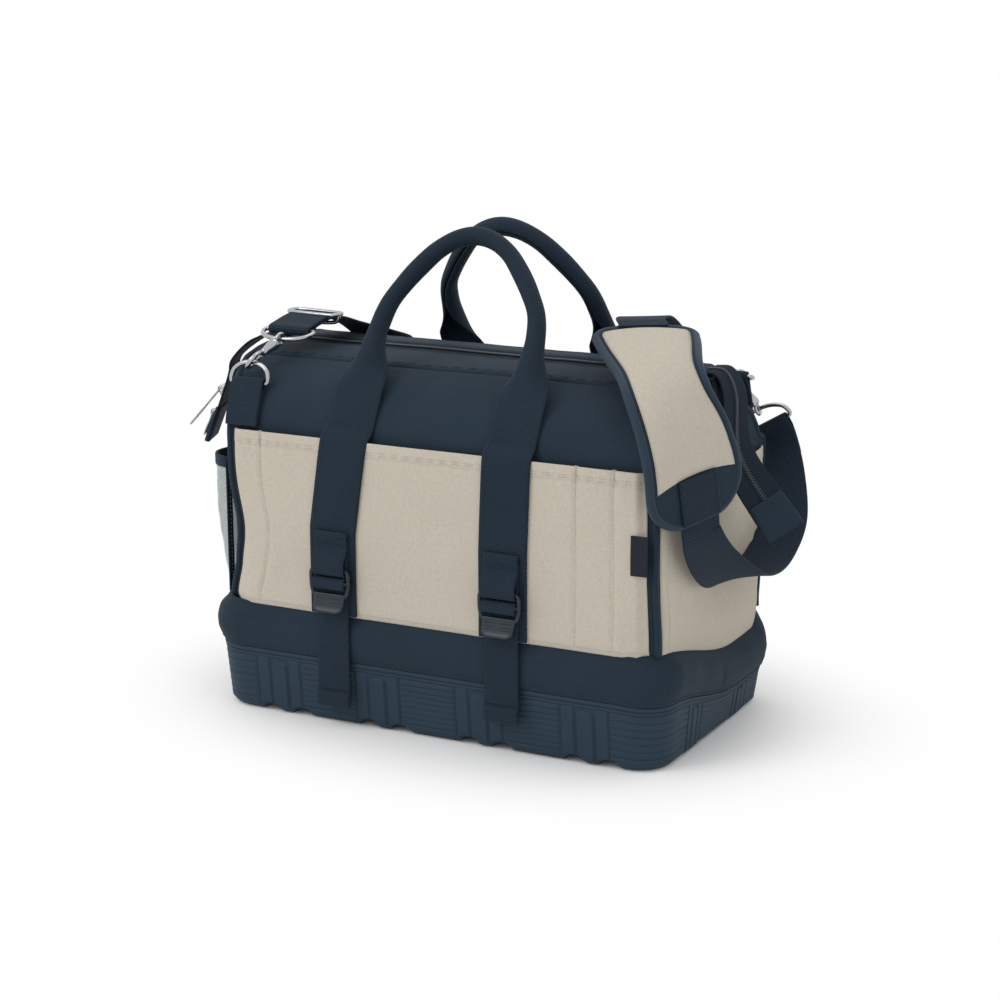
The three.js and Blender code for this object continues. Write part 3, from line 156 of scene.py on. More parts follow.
def catmull(points, t, closed=False):
    """Centripetal Catmull-Rom curve through points[k], at shares t of its spans. Each span is a
    cubic whose end slopes follow the square roots of the distances between the points."""
    p = np.asarray(points, float)
    n = len(p)
    ends = np.vstack([p[-1:], p, p[:2]]) if closed else np.vstack([2 * p[0] - p[1], p, 2 * p[-1] - p[-2]])
    spans = n if closed else n - 1
    at = np.clip(t, 0, 1) * spans
    i = np.minimum(at.astype(int), spans - 1)
    w = (at - i)[:, None]
    q = [ends[i + k] for k in range(4)]
    d = [np.maximum(np.linalg.norm((b - a)[:, :3], axis=1), 1e-6)[:, None] ** 0.5 for a, b in zip(q, q[1:])]
    m1 = ((q[1] - q[0]) / d[0] - (q[2] - q[0]) / (d[0] + d[1]) + (q[2] - q[1]) / d[1]) * d[1]
    m2 = ((q[2] - q[1]) / d[1] - (q[3] - q[1]) / (d[1] + d[2]) + (q[3] - q[2]) / d[2]) * d[1]
    return (q[1] + m1 * w + (-3 * q[1] + 3 * q[2] - 2 * m1 - m2) * w ** 2
            + (2 * q[1] - 2 * q[2] + m1 + m2) * w ** 3)


def lengths(p):
    """Distance along a row of places."""
    return np.concatenate([[0], np.cumsum(np.linalg.norm(np.diff(p[:, :3], axis=0), axis=1))])


def spaced(points, count, closed=False, curved=True):
    """Evenly spaced places along a curve through points; further columns are carried along."""
    p = np.asarray(points, float)
    if curved:
        p = catmull(p, np.linspace(0, 1, 40 * len(p)), closed)
    elif closed:
        p = np.vstack([p, p[:1]])
    s = lengths(p)
    at = np.linspace(0, s[-1], count + 1)[:count] if closed else np.linspace(0, s[-1], count)
    return np.stack([np.interp(at, s, p[:, k]) for k in range(p.shape[1])], 1)


def directions(p, closed=False):
    """Unit directions along a row of places, from each one's neighbours."""
    if closed:
        return unit(np.roll(p, -1, 0) - np.roll(p, 1, 0))
    return unit(np.gradient(p, axis=0))


def turned(p):
    """Half a turn about Z, which takes the front of the bag to its back."""
    return np.asarray(p) * (-1, -1, 1)


# Meshes

def block_faces(rings):
    """Quads of a block built of square rings, with both its ends closed."""
    last = 4 * (rings - 1)
    return np.array([[r * 4 + k, r * 4 + (k + 1) % 4, r * 4 + 4 + (k + 1) % 4, r * 4 + 4 + k]
                     for r in range(rings - 1) for k in range(4)]
                    + [[3, 2, 1, 0], [last, last + 1, last + 2, last + 3]])


class Skin:
    """Closed surfaces of one piece. Each adds places, four-cornered faces with texture lengths and
    a material, and end faces; each is turned outwards by the sign of its volume."""

    def __init__(self):
        self.places, self.quads, self.marks, self.ends, self.finish = [], [], [], [], []
        self.count = 0

    def add(self, places, quads, marks, ends=(), finish=0):
        p = places.reshape(-1, 3)
        a, b, c, d = (p[quads[:, k]] for k in range(4))
        volume = np.sum(a * np.cross(b, c)) + np.sum(a * np.cross(c, d))
        for face in ends:
            f = p[face]
            volume += np.sum(f[0] * np.cross(f[1:-1], f[2:]))
        if volume < 0:
            quads, marks, ends = quads[:, ::-1], marks[:, ::-1], [face[::-1] for face in ends]
        self.places.append(p)
        self.quads.append(quads + self.count)
        self.marks.append(marks)
        self.ends += [(face + self.count, finish) for face in ends]
        self.finish.append(np.full(len(quads), finish))
        self.count += len(p)

    def grid(self, p, ring=True, loop=False, finish=0, capped=True):
        """Skin over p[row, column]. ring joins the last column to the first and loop the last row to
        the first; a ring that isn't a loop gets an end face over each end row. Texture lengths are
        the mean distances between columns and between rows."""
        rows, cols = p.shape[:2]
        index = np.arange(rows * cols).reshape(rows, cols)
        full, q = index, p
        if ring:
            full, q = np.concatenate([full, full[:, :1]], 1), np.concatenate([q, q[:, :1]], 1)
        if loop:
            full, q = np.concatenate([full, full[:1]], 0), np.concatenate([q, q[:1]], 0)
        u = np.concatenate([[0], np.cumsum(np.linalg.norm(np.diff(q, axis=1), axis=2).max(0))]) * MM
        v = np.concatenate([[0], np.cumsum(np.linalg.norm(np.diff(q, axis=0), axis=2).mean(1))]) * MM
        mark = np.stack(np.broadcast_arrays(u[None, :], v[:, None]), -1)
        corners = [(slice(None, -1), slice(None, -1)), (slice(None, -1), slice(1, None)),
                   (slice(1, None), slice(1, None)), (slice(1, None), slice(None, -1))]
        quads = np.stack([full[c] for c in corners], -1).reshape(-1, 4)
        marks = np.stack([mark[c] for c in corners], 2).reshape(-1, 4, 2)
        ends = [index[0, ::-1], index[-1]] if ring and not loop and capped else []
        self.add(p, quads, marks, ends, finish)

    def slab(self, p, out, thick, mark=None, round=0.35, finish=0):
        """Sheet of a thickness under p[row, column]: its face, its back a thickness inwards, and an
        edge between them that stands out by a share of the thickness."""
        rows, cols = p.shape[:2]
        n = rows * cols
        back = p - out * thick
        index = np.arange(n).reshape(rows, cols)
        rim = np.concatenate([index[0, :-1], index[:-1, -1], index[-1, :0:-1], index[:0:-1, 0]])
        middle = (p.reshape(-1, 3)[rim] + back.reshape(-1, 3)[rim]) / 2
        along = unit(np.roll(middle, -1, 0) - np.roll(middle, 1, 0))
        side = unit(np.cross(along, np.broadcast_to(out, p.shape).reshape(-1, 3)[rim]))
        inner = p.reshape(-1, 3).mean(0)
        side *= np.sign(np.sum(side * (middle - inner)))
        middle = middle + side * thick * round
        if mark is None:
            u = np.concatenate([[0], np.cumsum(np.linalg.norm(np.diff(p, axis=1), axis=2).mean(0))]) * MM
            v = np.concatenate([[0], np.cumsum(np.linalg.norm(np.diff(p, axis=0), axis=2).mean(1))]) * MM
            mark = np.stack(np.broadcast_arrays(u[None, :], v[:, None]), -1)
        flat = mark.reshape(-1, 2)
        uv = np.concatenate([flat, flat, flat[rim]])
        face = np.stack([index[:-1, :-1], index[:-1, 1:], index[1:, 1:], index[1:, :-1]], -1).reshape(-1, 4)
        m = 2 * n + np.arange(len(rim))
        nr, nm = np.roll(rim, -1), np.roll(m, -1)
        quads = np.concatenate([face, face[:, ::-1] + n, np.stack([nr, rim, m, nm], -1),
                                np.stack([nm, m, rim + n, nr + n], -1)])
        places = np.concatenate([p.reshape(-1, 3), back.reshape(-1, 3), middle])
        self.add(places, quads, uv[quads], (), finish)

    def sweep(self, centre, across, section, closed=False, finish=0, capped=True):
        """Profile carried along a path: place = centre + x across + y up, where up is the path's
        direction crossed with across. section is [corner, 2] or [row, corner, 2]."""
        along = directions(centre, closed)
        wide = np.broadcast_to(across, centre.shape)
        wide = unit(wide - along * np.sum(wide * along, 1, keepdims=True))
        up = np.cross(along, wide)
        s = np.broadcast_to(section, (len(centre),) + np.shape(section)[-2:])
        p = centre[:, None] + wide[:, None] * s[..., :1] + up[:, None] * s[..., 1:]
        self.grid(p, True, closed, finish, capped)

    def wire(self, centre, radius, across, closed=False, sides=14, finish=0):
        """Round wire along a path; radius is a number or one for each place."""
        r = np.broadcast_to(radius, len(centre))[:, None, None]
        self.sweep(centre, across, circle(sides) * r, closed, finish)

    def lathe(self, outline, origin, axes, sides=32, finish=0):
        """Outline of [radius, height] points turned about the third axis, with a face at each end."""
        o = np.asarray(outline, float)
        x, y, z = (np.asarray(a, float) for a in axes)
        a = np.linspace(0, 2 * math.pi, sides, endpoint=False)
        p = (np.asarray(origin)[None, None] + o[:, None, :1] * (np.cos(a)[None, :, None] * x
             + np.sin(a)[None, :, None] * y) + o[:, None, 1:] * z)
        self.grid(p, True, False, finish)

    def block(self, plan, low, high, origin, axes, inset=0.5, finish=0):
        """Flat plate over a plan [corner, 2] between two heights, with softened edges."""
        x, y, z = (np.asarray(a, float) for a in axes)
        q = np.asarray(plan, float)
        mid = q.mean(0)
        shrink = mid + (q - mid) * (1 - inset / np.abs(q - mid).max())
        rows = [(shrink, low), (q, low + inset), (q, high - inset), (shrink, high)]
        p = np.stack([np.asarray(origin) + a[:, :1] * x + a[:, 1:] * y + h * z for a, h in rows])
        self.grid(p, True, False, finish)

    def stitches(self, path, out, pitch=3.4, length=2.5, radius=0.42, finish=0):
        """Threads in a row along a path: each is four square rings, small, full, full and small,
        lying half sunk in the cloth."""
        s = lengths(path)
        count = max(1, int(s[-1] / pitch))
        at = (np.arange(count) + 0.5) * s[-1] / count
        o = np.broadcast_to(out, path.shape)
        centre, way, up = (np.stack([np.interp(at, s, a[:, k]) for k in range(3)], 1)
                           for a in (path, np.gradient(path, axis=0), o))
        way, up = unit(way), unit(up)
        side = np.cross(way, up)
        rings = ((-0.5, 0.35, -0.5), (-0.25, 1, 0.1), (0.25, 1, 0.1), (0.5, 0.35, -0.5))
        corner = np.array([[1, 0], [0, 1], [-1, 0], [0, -1]]) * radius
        p = np.stack([np.stack([centre + way * length * t + side * x * size + up * (y * size + lift * radius)
                                for x, y in corner], 1) for t, size, lift in rings], 1)
        quads = (np.arange(count)[:, None, None] * 16 + block_faces(4)[None]).reshape(-1, 4)
        self.add(p.reshape(-1, 3), quads, np.zeros((len(quads), 4, 2)), (), finish)

    def mesh(self, name, materials):
        """The mesh, in metres, with its texture lengths as UV map."""
        mesh = bpy.data.meshes.new(name)
        places = np.concatenate(self.places) * MM
        quads = np.concatenate(self.quads)
        loops = np.concatenate([quads.ravel()] + [face for face, _ in self.ends])
        sizes = np.concatenate([np.full(len(quads), 4), [len(face) for face, _ in self.ends]]).astype(int)
        mesh.vertices.add(len(places))
        mesh.vertices.foreach_set("co", places.ravel())
        mesh.loops.add(len(loops))
        mesh.loops.foreach_set("vertex_index", loops.astype(np.int32))
        mesh.polygons.add(len(sizes))
        mesh.polygons.foreach_set("loop_start", np.concatenate([[0], np.cumsum(sizes)[:-1]]).astype(np.int32))
        flat = np.concatenate([np.zeros(len(quads), bool), np.ones(len(self.ends), bool)])
        mesh.polygons.foreach_set("use_smooth", ~flat)
        finish = np.concatenate(self.finish + [[f for _, f in self.ends]]).astype(np.int32)
        mesh.polygons.foreach_set("material_index", finish)
        uv = np.zeros((len(loops), 2))
        uv[:len(quads) * 4] = np.concatenate(self.marks).reshape(-1, 2)
        if self.ends:
            uv[len(quads) * 4:] = places[loops[len(quads) * 4:]][:, :2]
        layer = mesh.uv_layers.new(name="UVMap")
        layer.data.foreach_set("uv", uv.ravel())
        for material in materials:
            mesh.materials.append(material)
        mesh.update(calc_edges=True)
        mesh.validate()
        return mesh


def circle(sides):
    a = np.linspace(0, 2 * math.pi, sides, endpoint=False)
    return np.stack([np.cos(a), np.sin(a)], -1)


def flat_section(half, thick, flat=10, arc=4):
    """Outline of a flat band with round edges: x = a (half - t) + t cos, y = t sin, t half the
    thickness. half and thick may be arrays, one value for each row."""
    a = np.linspace(-math.pi / 2, math.pi / 2, arc + 1)
    s = np.linspace(1, -1, flat + 1)[1:-1]
    share = np.concatenate([np.ones(arc + 1), s, -np.ones(arc + 1), -s])
    cos = np.concatenate([np.cos(a), 0 * s, -np.cos(a), 0 * s])
    sin = np.concatenate([np.sin(a), 1 + 0 * s, -np.sin(a), -1 + 0 * s])
    half, thick = np.asarray(half, float)[..., None], np.asarray(thick, float)[..., None]
    t = np.minimum(half, thick)
    return np.stack(np.broadcast_arrays(share * (half - t) + cos * t, sin * t), -1)


def place(name, skin, materials, body="root", stands_for=()):
    """Makes the object of a piece, rides it on its body and hides the nodes it stands for."""
    mesh = skin.mesh(name, materials)
    piece = bpy.data.objects.new(name, mesh)
    bpy.context.scene.collection.objects.link(piece)
    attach(piece, body)
    if stands_for:
        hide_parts(*stands_for)
    return piece


# Body of the bag

def body_half(z):
    """Half depth at a height: H (1 - r^4.2)^(1/2.4), where r is the share of the shoulder."""
    r = np.clip((np.asarray(z, float) - SHOULDER) / (BODY_HEIGHT - SHOULDER), 0, 1)
    return BODY_DEPTH / 2 * (1 - r ** 4.2) ** (1 / 2.4)


def body_top(y):
    side = np.clip(np.abs(y) / (BODY_DEPTH / 2), 0, 1)
    return SHOULDER + (BODY_HEIGHT - SHOULDER) * (1 - side ** 2.4) ** (1 / 4.2)


def body_profile():
    """Front half of the body's outline from the band to the ridge, with the distance along it and
    its outward direction."""
    low = np.linspace(BAND_TOP, SHOULDER, 80, endpoint=False)
    a = np.linspace(math.pi / 2, 0, 400)
    y = BODY_DEPTH / 2 * np.sin(a) ** (2 / 2.4)
    p = np.concatenate([np.stack([-np.full(80, BODY_DEPTH / 2), low], 1), np.stack([-y, body_top(y)], 1)])
    s = np.concatenate([[0], np.cumsum(np.linalg.norm(np.diff(p, axis=0), axis=1))])
    even = np.linspace(0, s[-1], 900)
    p = np.stack([np.interp(even, s, p[:, 0]), np.interp(even, s, p[:, 1])], 1)
    d = unit(np.gradient(p, axis=0))
    return even, p, np.stack([-d[:, 1], d[:, 0]], 1)


PROFILE_S, PROFILE, PROFILE_OUT = body_profile()


def along_body(z=None, y=None):
    """Distance along the profile of a height on the front, or of a distance from the zip."""
    if y is not None:
        return float(np.interp(-y, PROFILE[:, 0], PROFILE_S))
    return float(np.interp(z, PROFILE[:, 1], PROFILE_S))


def on_body(x, s, out=0.0):
    """Place and outward direction on the front of the body, a distance along its profile and a
    distance off it. Past the ridge the profile goes on over the back."""
    x, s, out = np.broadcast_arrays(*(np.asarray(v, float) for v in (x, s, out)))
    total = PROFILE_S[-1]
    back = s > total
    t = np.where(back, 2 * total - s, s)
    y, z = np.interp(t, PROFILE_S, PROFILE[:, 0]), np.interp(t, PROFILE_S, PROFILE[:, 1])
    ny, nz = np.interp(t, PROFILE_S, PROFILE_OUT[:, 0]), np.interp(t, PROFILE_S, PROFILE_OUT[:, 1])
    y, ny = np.where(back, -y, y), np.where(back, -ny, ny)
    n = unit(np.stack([0 * x, ny, nz], -1))
    return np.stack([x, y, z], -1) + n * out[..., None], n


def end_dip(x, y):
    """How far the rim of the right end sags: most behind its middle, nothing at the front corner."""
    return (smooth(200, 240, x) * smooth(-130, 50, y) * (1 - smooth(100, 170, y))) * 30


def settle(p):
    """The slack of the cloth. The back corner of the right end sinks and leans inwards and its foot
    follows the sagging rim, the front left edge is drawn in, and the corners round off at the foot."""
    x, y, z = p[..., 0], p[..., 1], p[..., 2]
    q = p.copy()
    sink = smooth(205, 236, x) * smooth(4, 62, y)
    q[..., 2] -= sink * (30 * smooth(262, 330, z) + 10 * bump(z, 300, 30))
    q[..., 2] -= 1.15 * end_dip(x, y) * (1 - smooth(114, 235, z))
    q[..., 2] += 0.8 * ripples(x, y, 1.3, 170) * smooth(300, 345, z) * (1 - smooth(180, 230, np.abs(x)))
    drawn = (1 - smooth(-215, -110, x)) * (1 - smooth(-128, -70, y))
    q[..., 0] += drawn * (8 + 6 * smooth(112, 150, z) + 9 * bump(z, 186, 36))
    corner = smooth(196, 236, np.abs(x)) * (1 - smooth(114, 190, z)) * smooth(90, 130, np.abs(y))
    q[..., 1] -= sink * 10 * smooth(262, 300, z) + np.sign(y) * 8 * corner
    return q


# Materials

class Net:
    """Short hand for a node tree: each call makes one node and joins what is given to its inputs."""

    def __init__(self, tree):
        self.tree = tree

    def node(self, kind, inputs=None, **settings):
        node = self.tree.nodes.new(kind)
        for key, value in settings.items():
            setattr(node, key, value)
        for key, value in (inputs or {}).items():
            socket = node.inputs[key]
            if isinstance(value, bpy.types.NodeSocket):
                self.tree.links.new(value, socket)
            else:
                socket.default_value = value
        return node

    def math(self, operation, a, b=0.0, c=0.0):
        return self.node("ShaderNodeMath", {0: a, 1: b, 2: c}, operation=operation).outputs[0]

    def mix(self, share, a, b, blend="MIX"):
        node = self.node("ShaderNodeMix", {0: share, 6: a, 7: b}, data_type="RGBA", blend_type=blend)
        return node.outputs[2]

    def group(self, name, vector, values):
        """One of the effect groups, fed with a vector and with its values."""
        node = self.node("ShaderNodeGroup", {}, node_tree=bpy.data.node_groups[name])
        self.tree.links.new(vector, node.inputs["Vector"])
        for label, value in values.items():
            node.inputs[label].default_value = value
        return node.outputs

    def grey(self, value):
        return self.node("ShaderNodeCombineColor", {k: value for k in range(3)}).outputs[0]

    def seen(self):
        """1 where the camera looks straight, or through metal or glass."""
        path = self.node("ShaderNodeLightPath").outputs
        glass = self.math("MAXIMUM", path["Is Glossy Ray"], path["Is Transmission Ray"])
        return self.math("MAXIMUM", path["Is Camera Ray"], glass)

    def noise(self, vector, scale, detail=3.0, roughness=0.55):
        return self.node("ShaderNodeTexNoise", {"Vector": vector, "Scale": scale, "Detail": detail,
                                                "Roughness": roughness}).outputs[0]


def effect(name, inputs, outputs, build):
    """A node group of float or vector sockets; build gets its net and inputs, and gives its outputs."""
    tree = bpy.data.node_groups.new(name, "ShaderNodeTree")
    for label, value in inputs:
        kind = "NodeSocketVector" if value is None else "NodeSocketFloat"
        socket = tree.interface.new_socket(name=label, in_out="INPUT", socket_type=kind)
        if value is not None:
            socket.default_value = value
    for label in outputs:
        tree.interface.new_socket(name=label, in_out="OUTPUT", socket_type="NodeSocketFloat")
    net = Net(tree)
    given = tree.nodes.new("NodeGroupInput")
    out = tree.nodes.new("NodeGroupOutput")
    for label, socket in zip(outputs, build(net, given.outputs)):
        tree.links.new(socket, out.inputs[label])
    return tree


def weave_effect():
    """Plain weave: sin 2 pi u x sin 2 pi v, with the threads made uneven by a fine noise."""
    def build(net, given):
        wobble = net.noise(given["Vector"], 900.0, 2.0)
        axes = net.node("ShaderNodeSeparateXYZ", {0: given["Vector"]}).outputs
        turn = net.math("DIVIDE", 2 * math.pi, given["Thread"])
        waves = [net.math("SINE", net.math("MULTIPLY_ADD", axes[k], turn, net.math("MULTIPLY", wobble, 1.2)))
                 for k in (0, 1)]
        height = net.math("MULTIPLY_ADD", net.math("MULTIPLY", waves[0], waves[1]), 0.35, wobble)
        return [height]
    return effect("Plain weave", (("Vector", None), ("Thread", 0.0009)), ("Height",), build)


def mottle_effect():
    """Cloudy change of tone about 1: a broad noise and a fine fleck, each with a share."""
    def build(net, given):
        broad = net.noise(given["Vector"], given["Broad scale"], 4.0)
        fine = net.noise(given["Vector"], given["Fine scale"], 2.0, 0.7)
        a = net.math("MULTIPLY", net.math("SUBTRACT", broad, 0.5), given["Broad"])
        b = net.math("MULTIPLY", net.math("SUBTRACT", fine, 0.5), given["Fine"])
        return [net.math("ADD", 1.0, net.math("ADD", a, b))]
    return effect("Mottled tone", (("Vector", None), ("Broad scale", 9.0), ("Fine scale", 420.0),
                                   ("Broad", 0.3), ("Fine", 0.2)), ("Tone",), build)


def rib_effect():
    """Ribbed webbing: cross ribs that step sideways in columns, sin(2 pi v / p + shift(u))."""
    def build(net, given):
        axes = net.node("ShaderNodeSeparateXYZ", {0: given["Vector"]}).outputs
        column = net.math("PINGPONG", net.math("DIVIDE", axes[0], given["Column"]), 1.0)
        rib = net.math("SINE", net.math("MULTIPLY_ADD", column, 2.2, net.math(
            "MULTIPLY", axes[1], net.math("DIVIDE", 2 * math.pi, given["Rib"]))))
        cord = net.math("SINE", net.math("MULTIPLY", axes[0], net.math("DIVIDE", 2 * math.pi, given["Column"])))
        wobble = net.noise(given["Vector"], 700.0, 2.0)
        height = net.math("ADD", net.math("MULTIPLY_ADD", rib, 0.5, 0.5), net.math("MULTIPLY", cord, 0.22))
        return [net.math("MULTIPLY_ADD", wobble, 0.5, height)]
    return effect("Webbing ribs", (("Vector", None), ("Rib", 0.0021), ("Column", 0.0032)), ("Height",), build)


def scuff_effect():
    """Mask of fine rubs: a stretched noise cut high, broken up by a broad one."""
    def build(net, given):
        stretched = net.node("ShaderNodeMapping", {"Vector": given["Vector"], "Scale": (30.0, 30.0, 260.0)})
        lines = net.noise(stretched.outputs[0], 1.0, 6.0, 0.7)
        broad = net.noise(given["Vector"], 14.0, 2.0)
        cut = net.math("GREATER_THAN", lines, given["Level"])
        return [net.math("MULTIPLY", cut, net.math("MULTIPLY", broad, given["Amount"]))]
    return effect("Fine rubs", (("Vector", None), ("Level", 0.66), ("Amount", 0.5)), ("Mask",), build)


def net_effect():
    """Open net: threads along two slanted directions; the mask is 1 on a thread or knot."""
    def build(net, given):
        axes = net.node("ShaderNodeSeparateXYZ", {0: given["Vector"]}).outputs
        turn = net.math("DIVIDE", math.pi, given["Hole"])
        a = net.math("ABSOLUTE", net.math("SINE", net.math("MULTIPLY", net.math("ADD", axes[0], axes[1]), turn)))
        b = net.math("ABSOLUTE", net.math("SINE", net.math("MULTIPLY",
                                                       net.math("SUBTRACT", axes[0], axes[1]), turn)))
        least = net.math("MINIMUM", a, b)
        return [net.math("LESS_THAN", least, given["Thread"]), net.math("SUBTRACT", 1.0, least)]
    return effect("Open net", (("Vector", None), ("Hole", 0.004), ("Thread", 0.42)), ("Mask", "Height"), build)


def finish(name, colour, rough, bump_height=0.0, bump_strength=0.0, metallic=0.0, sheen=0.0, tone=None,
           relief=None, uv=True, scuff=None, alpha=None, spread=0.08, specular=0.15):
    """A material: a mottled colour, uneven roughness and a relief from one of the effect groups; the relief's low
    parts also get a darker colour, painted shade in its hollows.
    """
    material = bpy.data.materials.new(name)
    material.use_nodes = True
    net = Net(material.node_tree)
    shader = material.node_tree.nodes["Principled BSDF"]
    place_in = net.node("ShaderNodeTexCoord").outputs
    where, cloth = place_in["Object"], place_in["UV"] if uv else place_in["Object"]
    link = material.node_tree.links.new
    shader.inputs["Metallic"].default_value = metallic
    shader.inputs["Sheen Weight"].default_value = sheen
    shader.inputs["Sheen Roughness"].default_value = 0.45
    shader.inputs["Specular IOR Level"].default_value = specular
    tone = dict(zip(("Broad scale", "Fine scale", "Broad", "Fine"), tone or (9.0, 420.0, 0.2, 0.15)))
    base = net.mix(1.0, (*colour, 1.0), net.grey(net.group("Mottled tone", where, tone)[0]), "MULTIPLY")
    height = None
    if relief:
        height = net.group(relief[0], cloth, relief[1])["Height"]
        # Painted shade: the colour is multiplied darker in the low parts of the relief, as shade lying in the
        # hollows of the weave.
        hollow_shade = net.math("MULTIPLY_ADD", height, relief[2], 1.0 - relief[2] * 0.6)
        base = net.mix(1.0, base, net.grey(hollow_shade), "MULTIPLY")
    if scuff:
        rubs = net.group("Fine rubs", where, {"Level": scuff[1], "Amount": scuff[2]})
        base = net.mix(rubs[0], base, (*scuff[0], 1.0))
    link(base, shader.inputs["Base Color"])
    uneven = net.noise(where, 60.0, 3.0)
    link(net.math("MULTIPLY_ADD", uneven, spread, rough - spread / 2), shader.inputs["Roughness"])
    if height is None:
        height = net.noise(where, 1500.0, 2.0)
    if bump_strength:
        relief_node = net.node("ShaderNodeBump", {"Strength": bump_strength, "Distance": bump_height * MM,
                                                  "Height": height})
        link(relief_node.outputs[0], shader.inputs["Normal"])
    if alpha:
        link(net.group("Open net", cloth, alpha)["Mask"], shader.inputs["Alpha"])
    return material


def make_materials(looks):
    """Builds the effect groups once, and then each finish of the bag."""
    for build in (weave_effect, mottle_effect, rib_effect, scuff_effect, net_effect):
        build()
    # The last number of each relief is how much darker its hollows are painted, as shade.
    canvas = ("Plain weave", {"Thread": 0.0011}, 0.25)
    ribs = ("Webbing ribs", {"Rib": 0.0024, "Column": 0.0034}, 0.3)
    navy, web, patch = tuple(looks.navy), tuple(looks.webbing), tuple(looks.patch)
    # Binding tape is the canvas navy made 1.3 times lighter: painted sheen from light grazing the pad's rounded
    # edge.
    painted_sheen_navy = tuple(c * 1.3 for c in navy)
    finish("Navy canvas", navy, 0.8, 0.25, 0.5, sheen=0.04, tone=(11.0, 380.0, 0.4, 0.3), relief=canvas)
    finish("Beige canvas", patch, 0.92, 0.3, 0.45, sheen=0.02, tone=(16.0, 330.0, 0.07, 0.3),
           relief=("Plain weave", {"Thread": 0.0012}, 0.10))
    finish("Binding tape", painted_sheen_navy, 0.6, 0.25, 0.5, sheen=0.08, tone=(20.0, 380.0, 0.2, 0.2),
           relief=("Plain weave", {"Thread": 0.0012}, 0.2))
    finish("Navy webbing", web, 0.72, 0.5, 0.75, sheen=0.03, tone=(14.0, 380.0, 0.25, 0.2), relief=ribs)
    finish("Moulded rubber", tuple(looks.tub), 0.55, 0.12, 0.25, tone=(12.0, 300.0, 0.2, 0.12), uv=False,
           scuff=(tuple(c * 2.0 for c in looks.tub), 0.66, 0.35), spread=0.14)
    finish("Black plastic", tuple(looks.plastic), 0.34, 0.05, 0.15, tone=(20.0, 500.0, 0.15, 0.1), uv=False,
           scuff=((0.05, 0.055, 0.06), 0.7, 0.3), specular=0.4)
    finish("Polished chrome", tuple(looks.chrome), 0.2, 0.02, 0.05, metallic=1.0, uv=False,
           tone=(30.0, 300.0, 0.06, 0.04), spread=0.1)
    finish("Zip tape", tuple(c * 0.8 for c in web), 0.8, 0.3, 0.5, relief=("Plain weave", {"Thread": 0.0009}, 0.3))
    finish("Zip teeth", (0.032, 0.041, 0.052), 0.42, 0.05, 0.1, uv=False, specular=0.35)
    finish("Navy thread", tuple(c * 1.35 for c in navy), 0.7, 0.1, 0.2, uv=False)
    finish("Beige thread", tuple(c * 0.86 for c in patch), 0.8, 0.1, 0.2, uv=False)
    finish("Pocket net", (0.5, 0.52, 0.53), 0.75, 0.4, 0.6, relief=("Open net", {"Hole": 0.0042}, 0.2),
           alpha={"Hole": 0.0042, "Thread": 0.5})
    finish("Board", (0.014, 0.017, 0.022), 0.75, 0.2, 0.4, uv=False)
    finish("Blank woven tag", (0.016, 0.02, 0.028), 0.7, 0.2, 0.5,
           relief=("Plain weave", {"Thread": 0.0007}, 0.25))


def look(*names):
    return [bpy.data.materials[name] for name in names]


# Moulded tub

def tub_columns():
    """Columns round the tub, closer together across the upright ridges. Each is a pair of shares of
    the straight half sides, and the outward direction in plan."""
    hx, hy = TUB_LENGTH / 2 - TUB_CORNER, TUB_DEPTH / 2 - TUB_CORNER

    def stops(half, zones, width):
        x = np.linspace(-half, half, 4000)
        near = np.min([np.abs(x - c) for c in zones], 0) < width / 2 + 1.5
        count = np.concatenate([[0], np.cumsum(np.diff(x) / np.where(near[1:], 0.85, 4.0))])
        return np.interp(np.linspace(0, count[-1], int(count[-1])), count, x)

    long = stops(hx, ZONES, ZONE_WIDTH) / hx
    short = stops(hy, (-58, 58), 32) / hy
    arc = np.radians(np.linspace(-90, 0, 20)[1:-1])
    sides = [(long, -np.ones(len(long)), 0 * long, -np.ones(len(long))),
             (np.ones(18), -np.ones(18), np.cos(arc), np.sin(arc)),
             (np.ones(len(short)), short, np.ones(len(short)), 0 * short),
             (np.ones(18), np.ones(18), np.cos(arc + math.pi / 2), np.sin(arc + math.pi / 2))]
    half = [np.concatenate([s[k] for s in sides]) for k in range(4)]
    return np.stack([np.concatenate([h, -h]) for h in half], 1)


def rim_height(x, y):
    """Height of the rim: level along the sides, lower along the left end by a squared cosine, and
    along the right end by its sag."""
    share = np.clip(np.abs(y) / (TUB_DEPTH / 2 - TUB_CORNER), 0, 1)
    dip = TUB_DIP * np.cos(share * math.pi / 2) ** 2 * smooth(200, 240, -x)
    return TUB_HEIGHT - dip - end_dip(x, y)


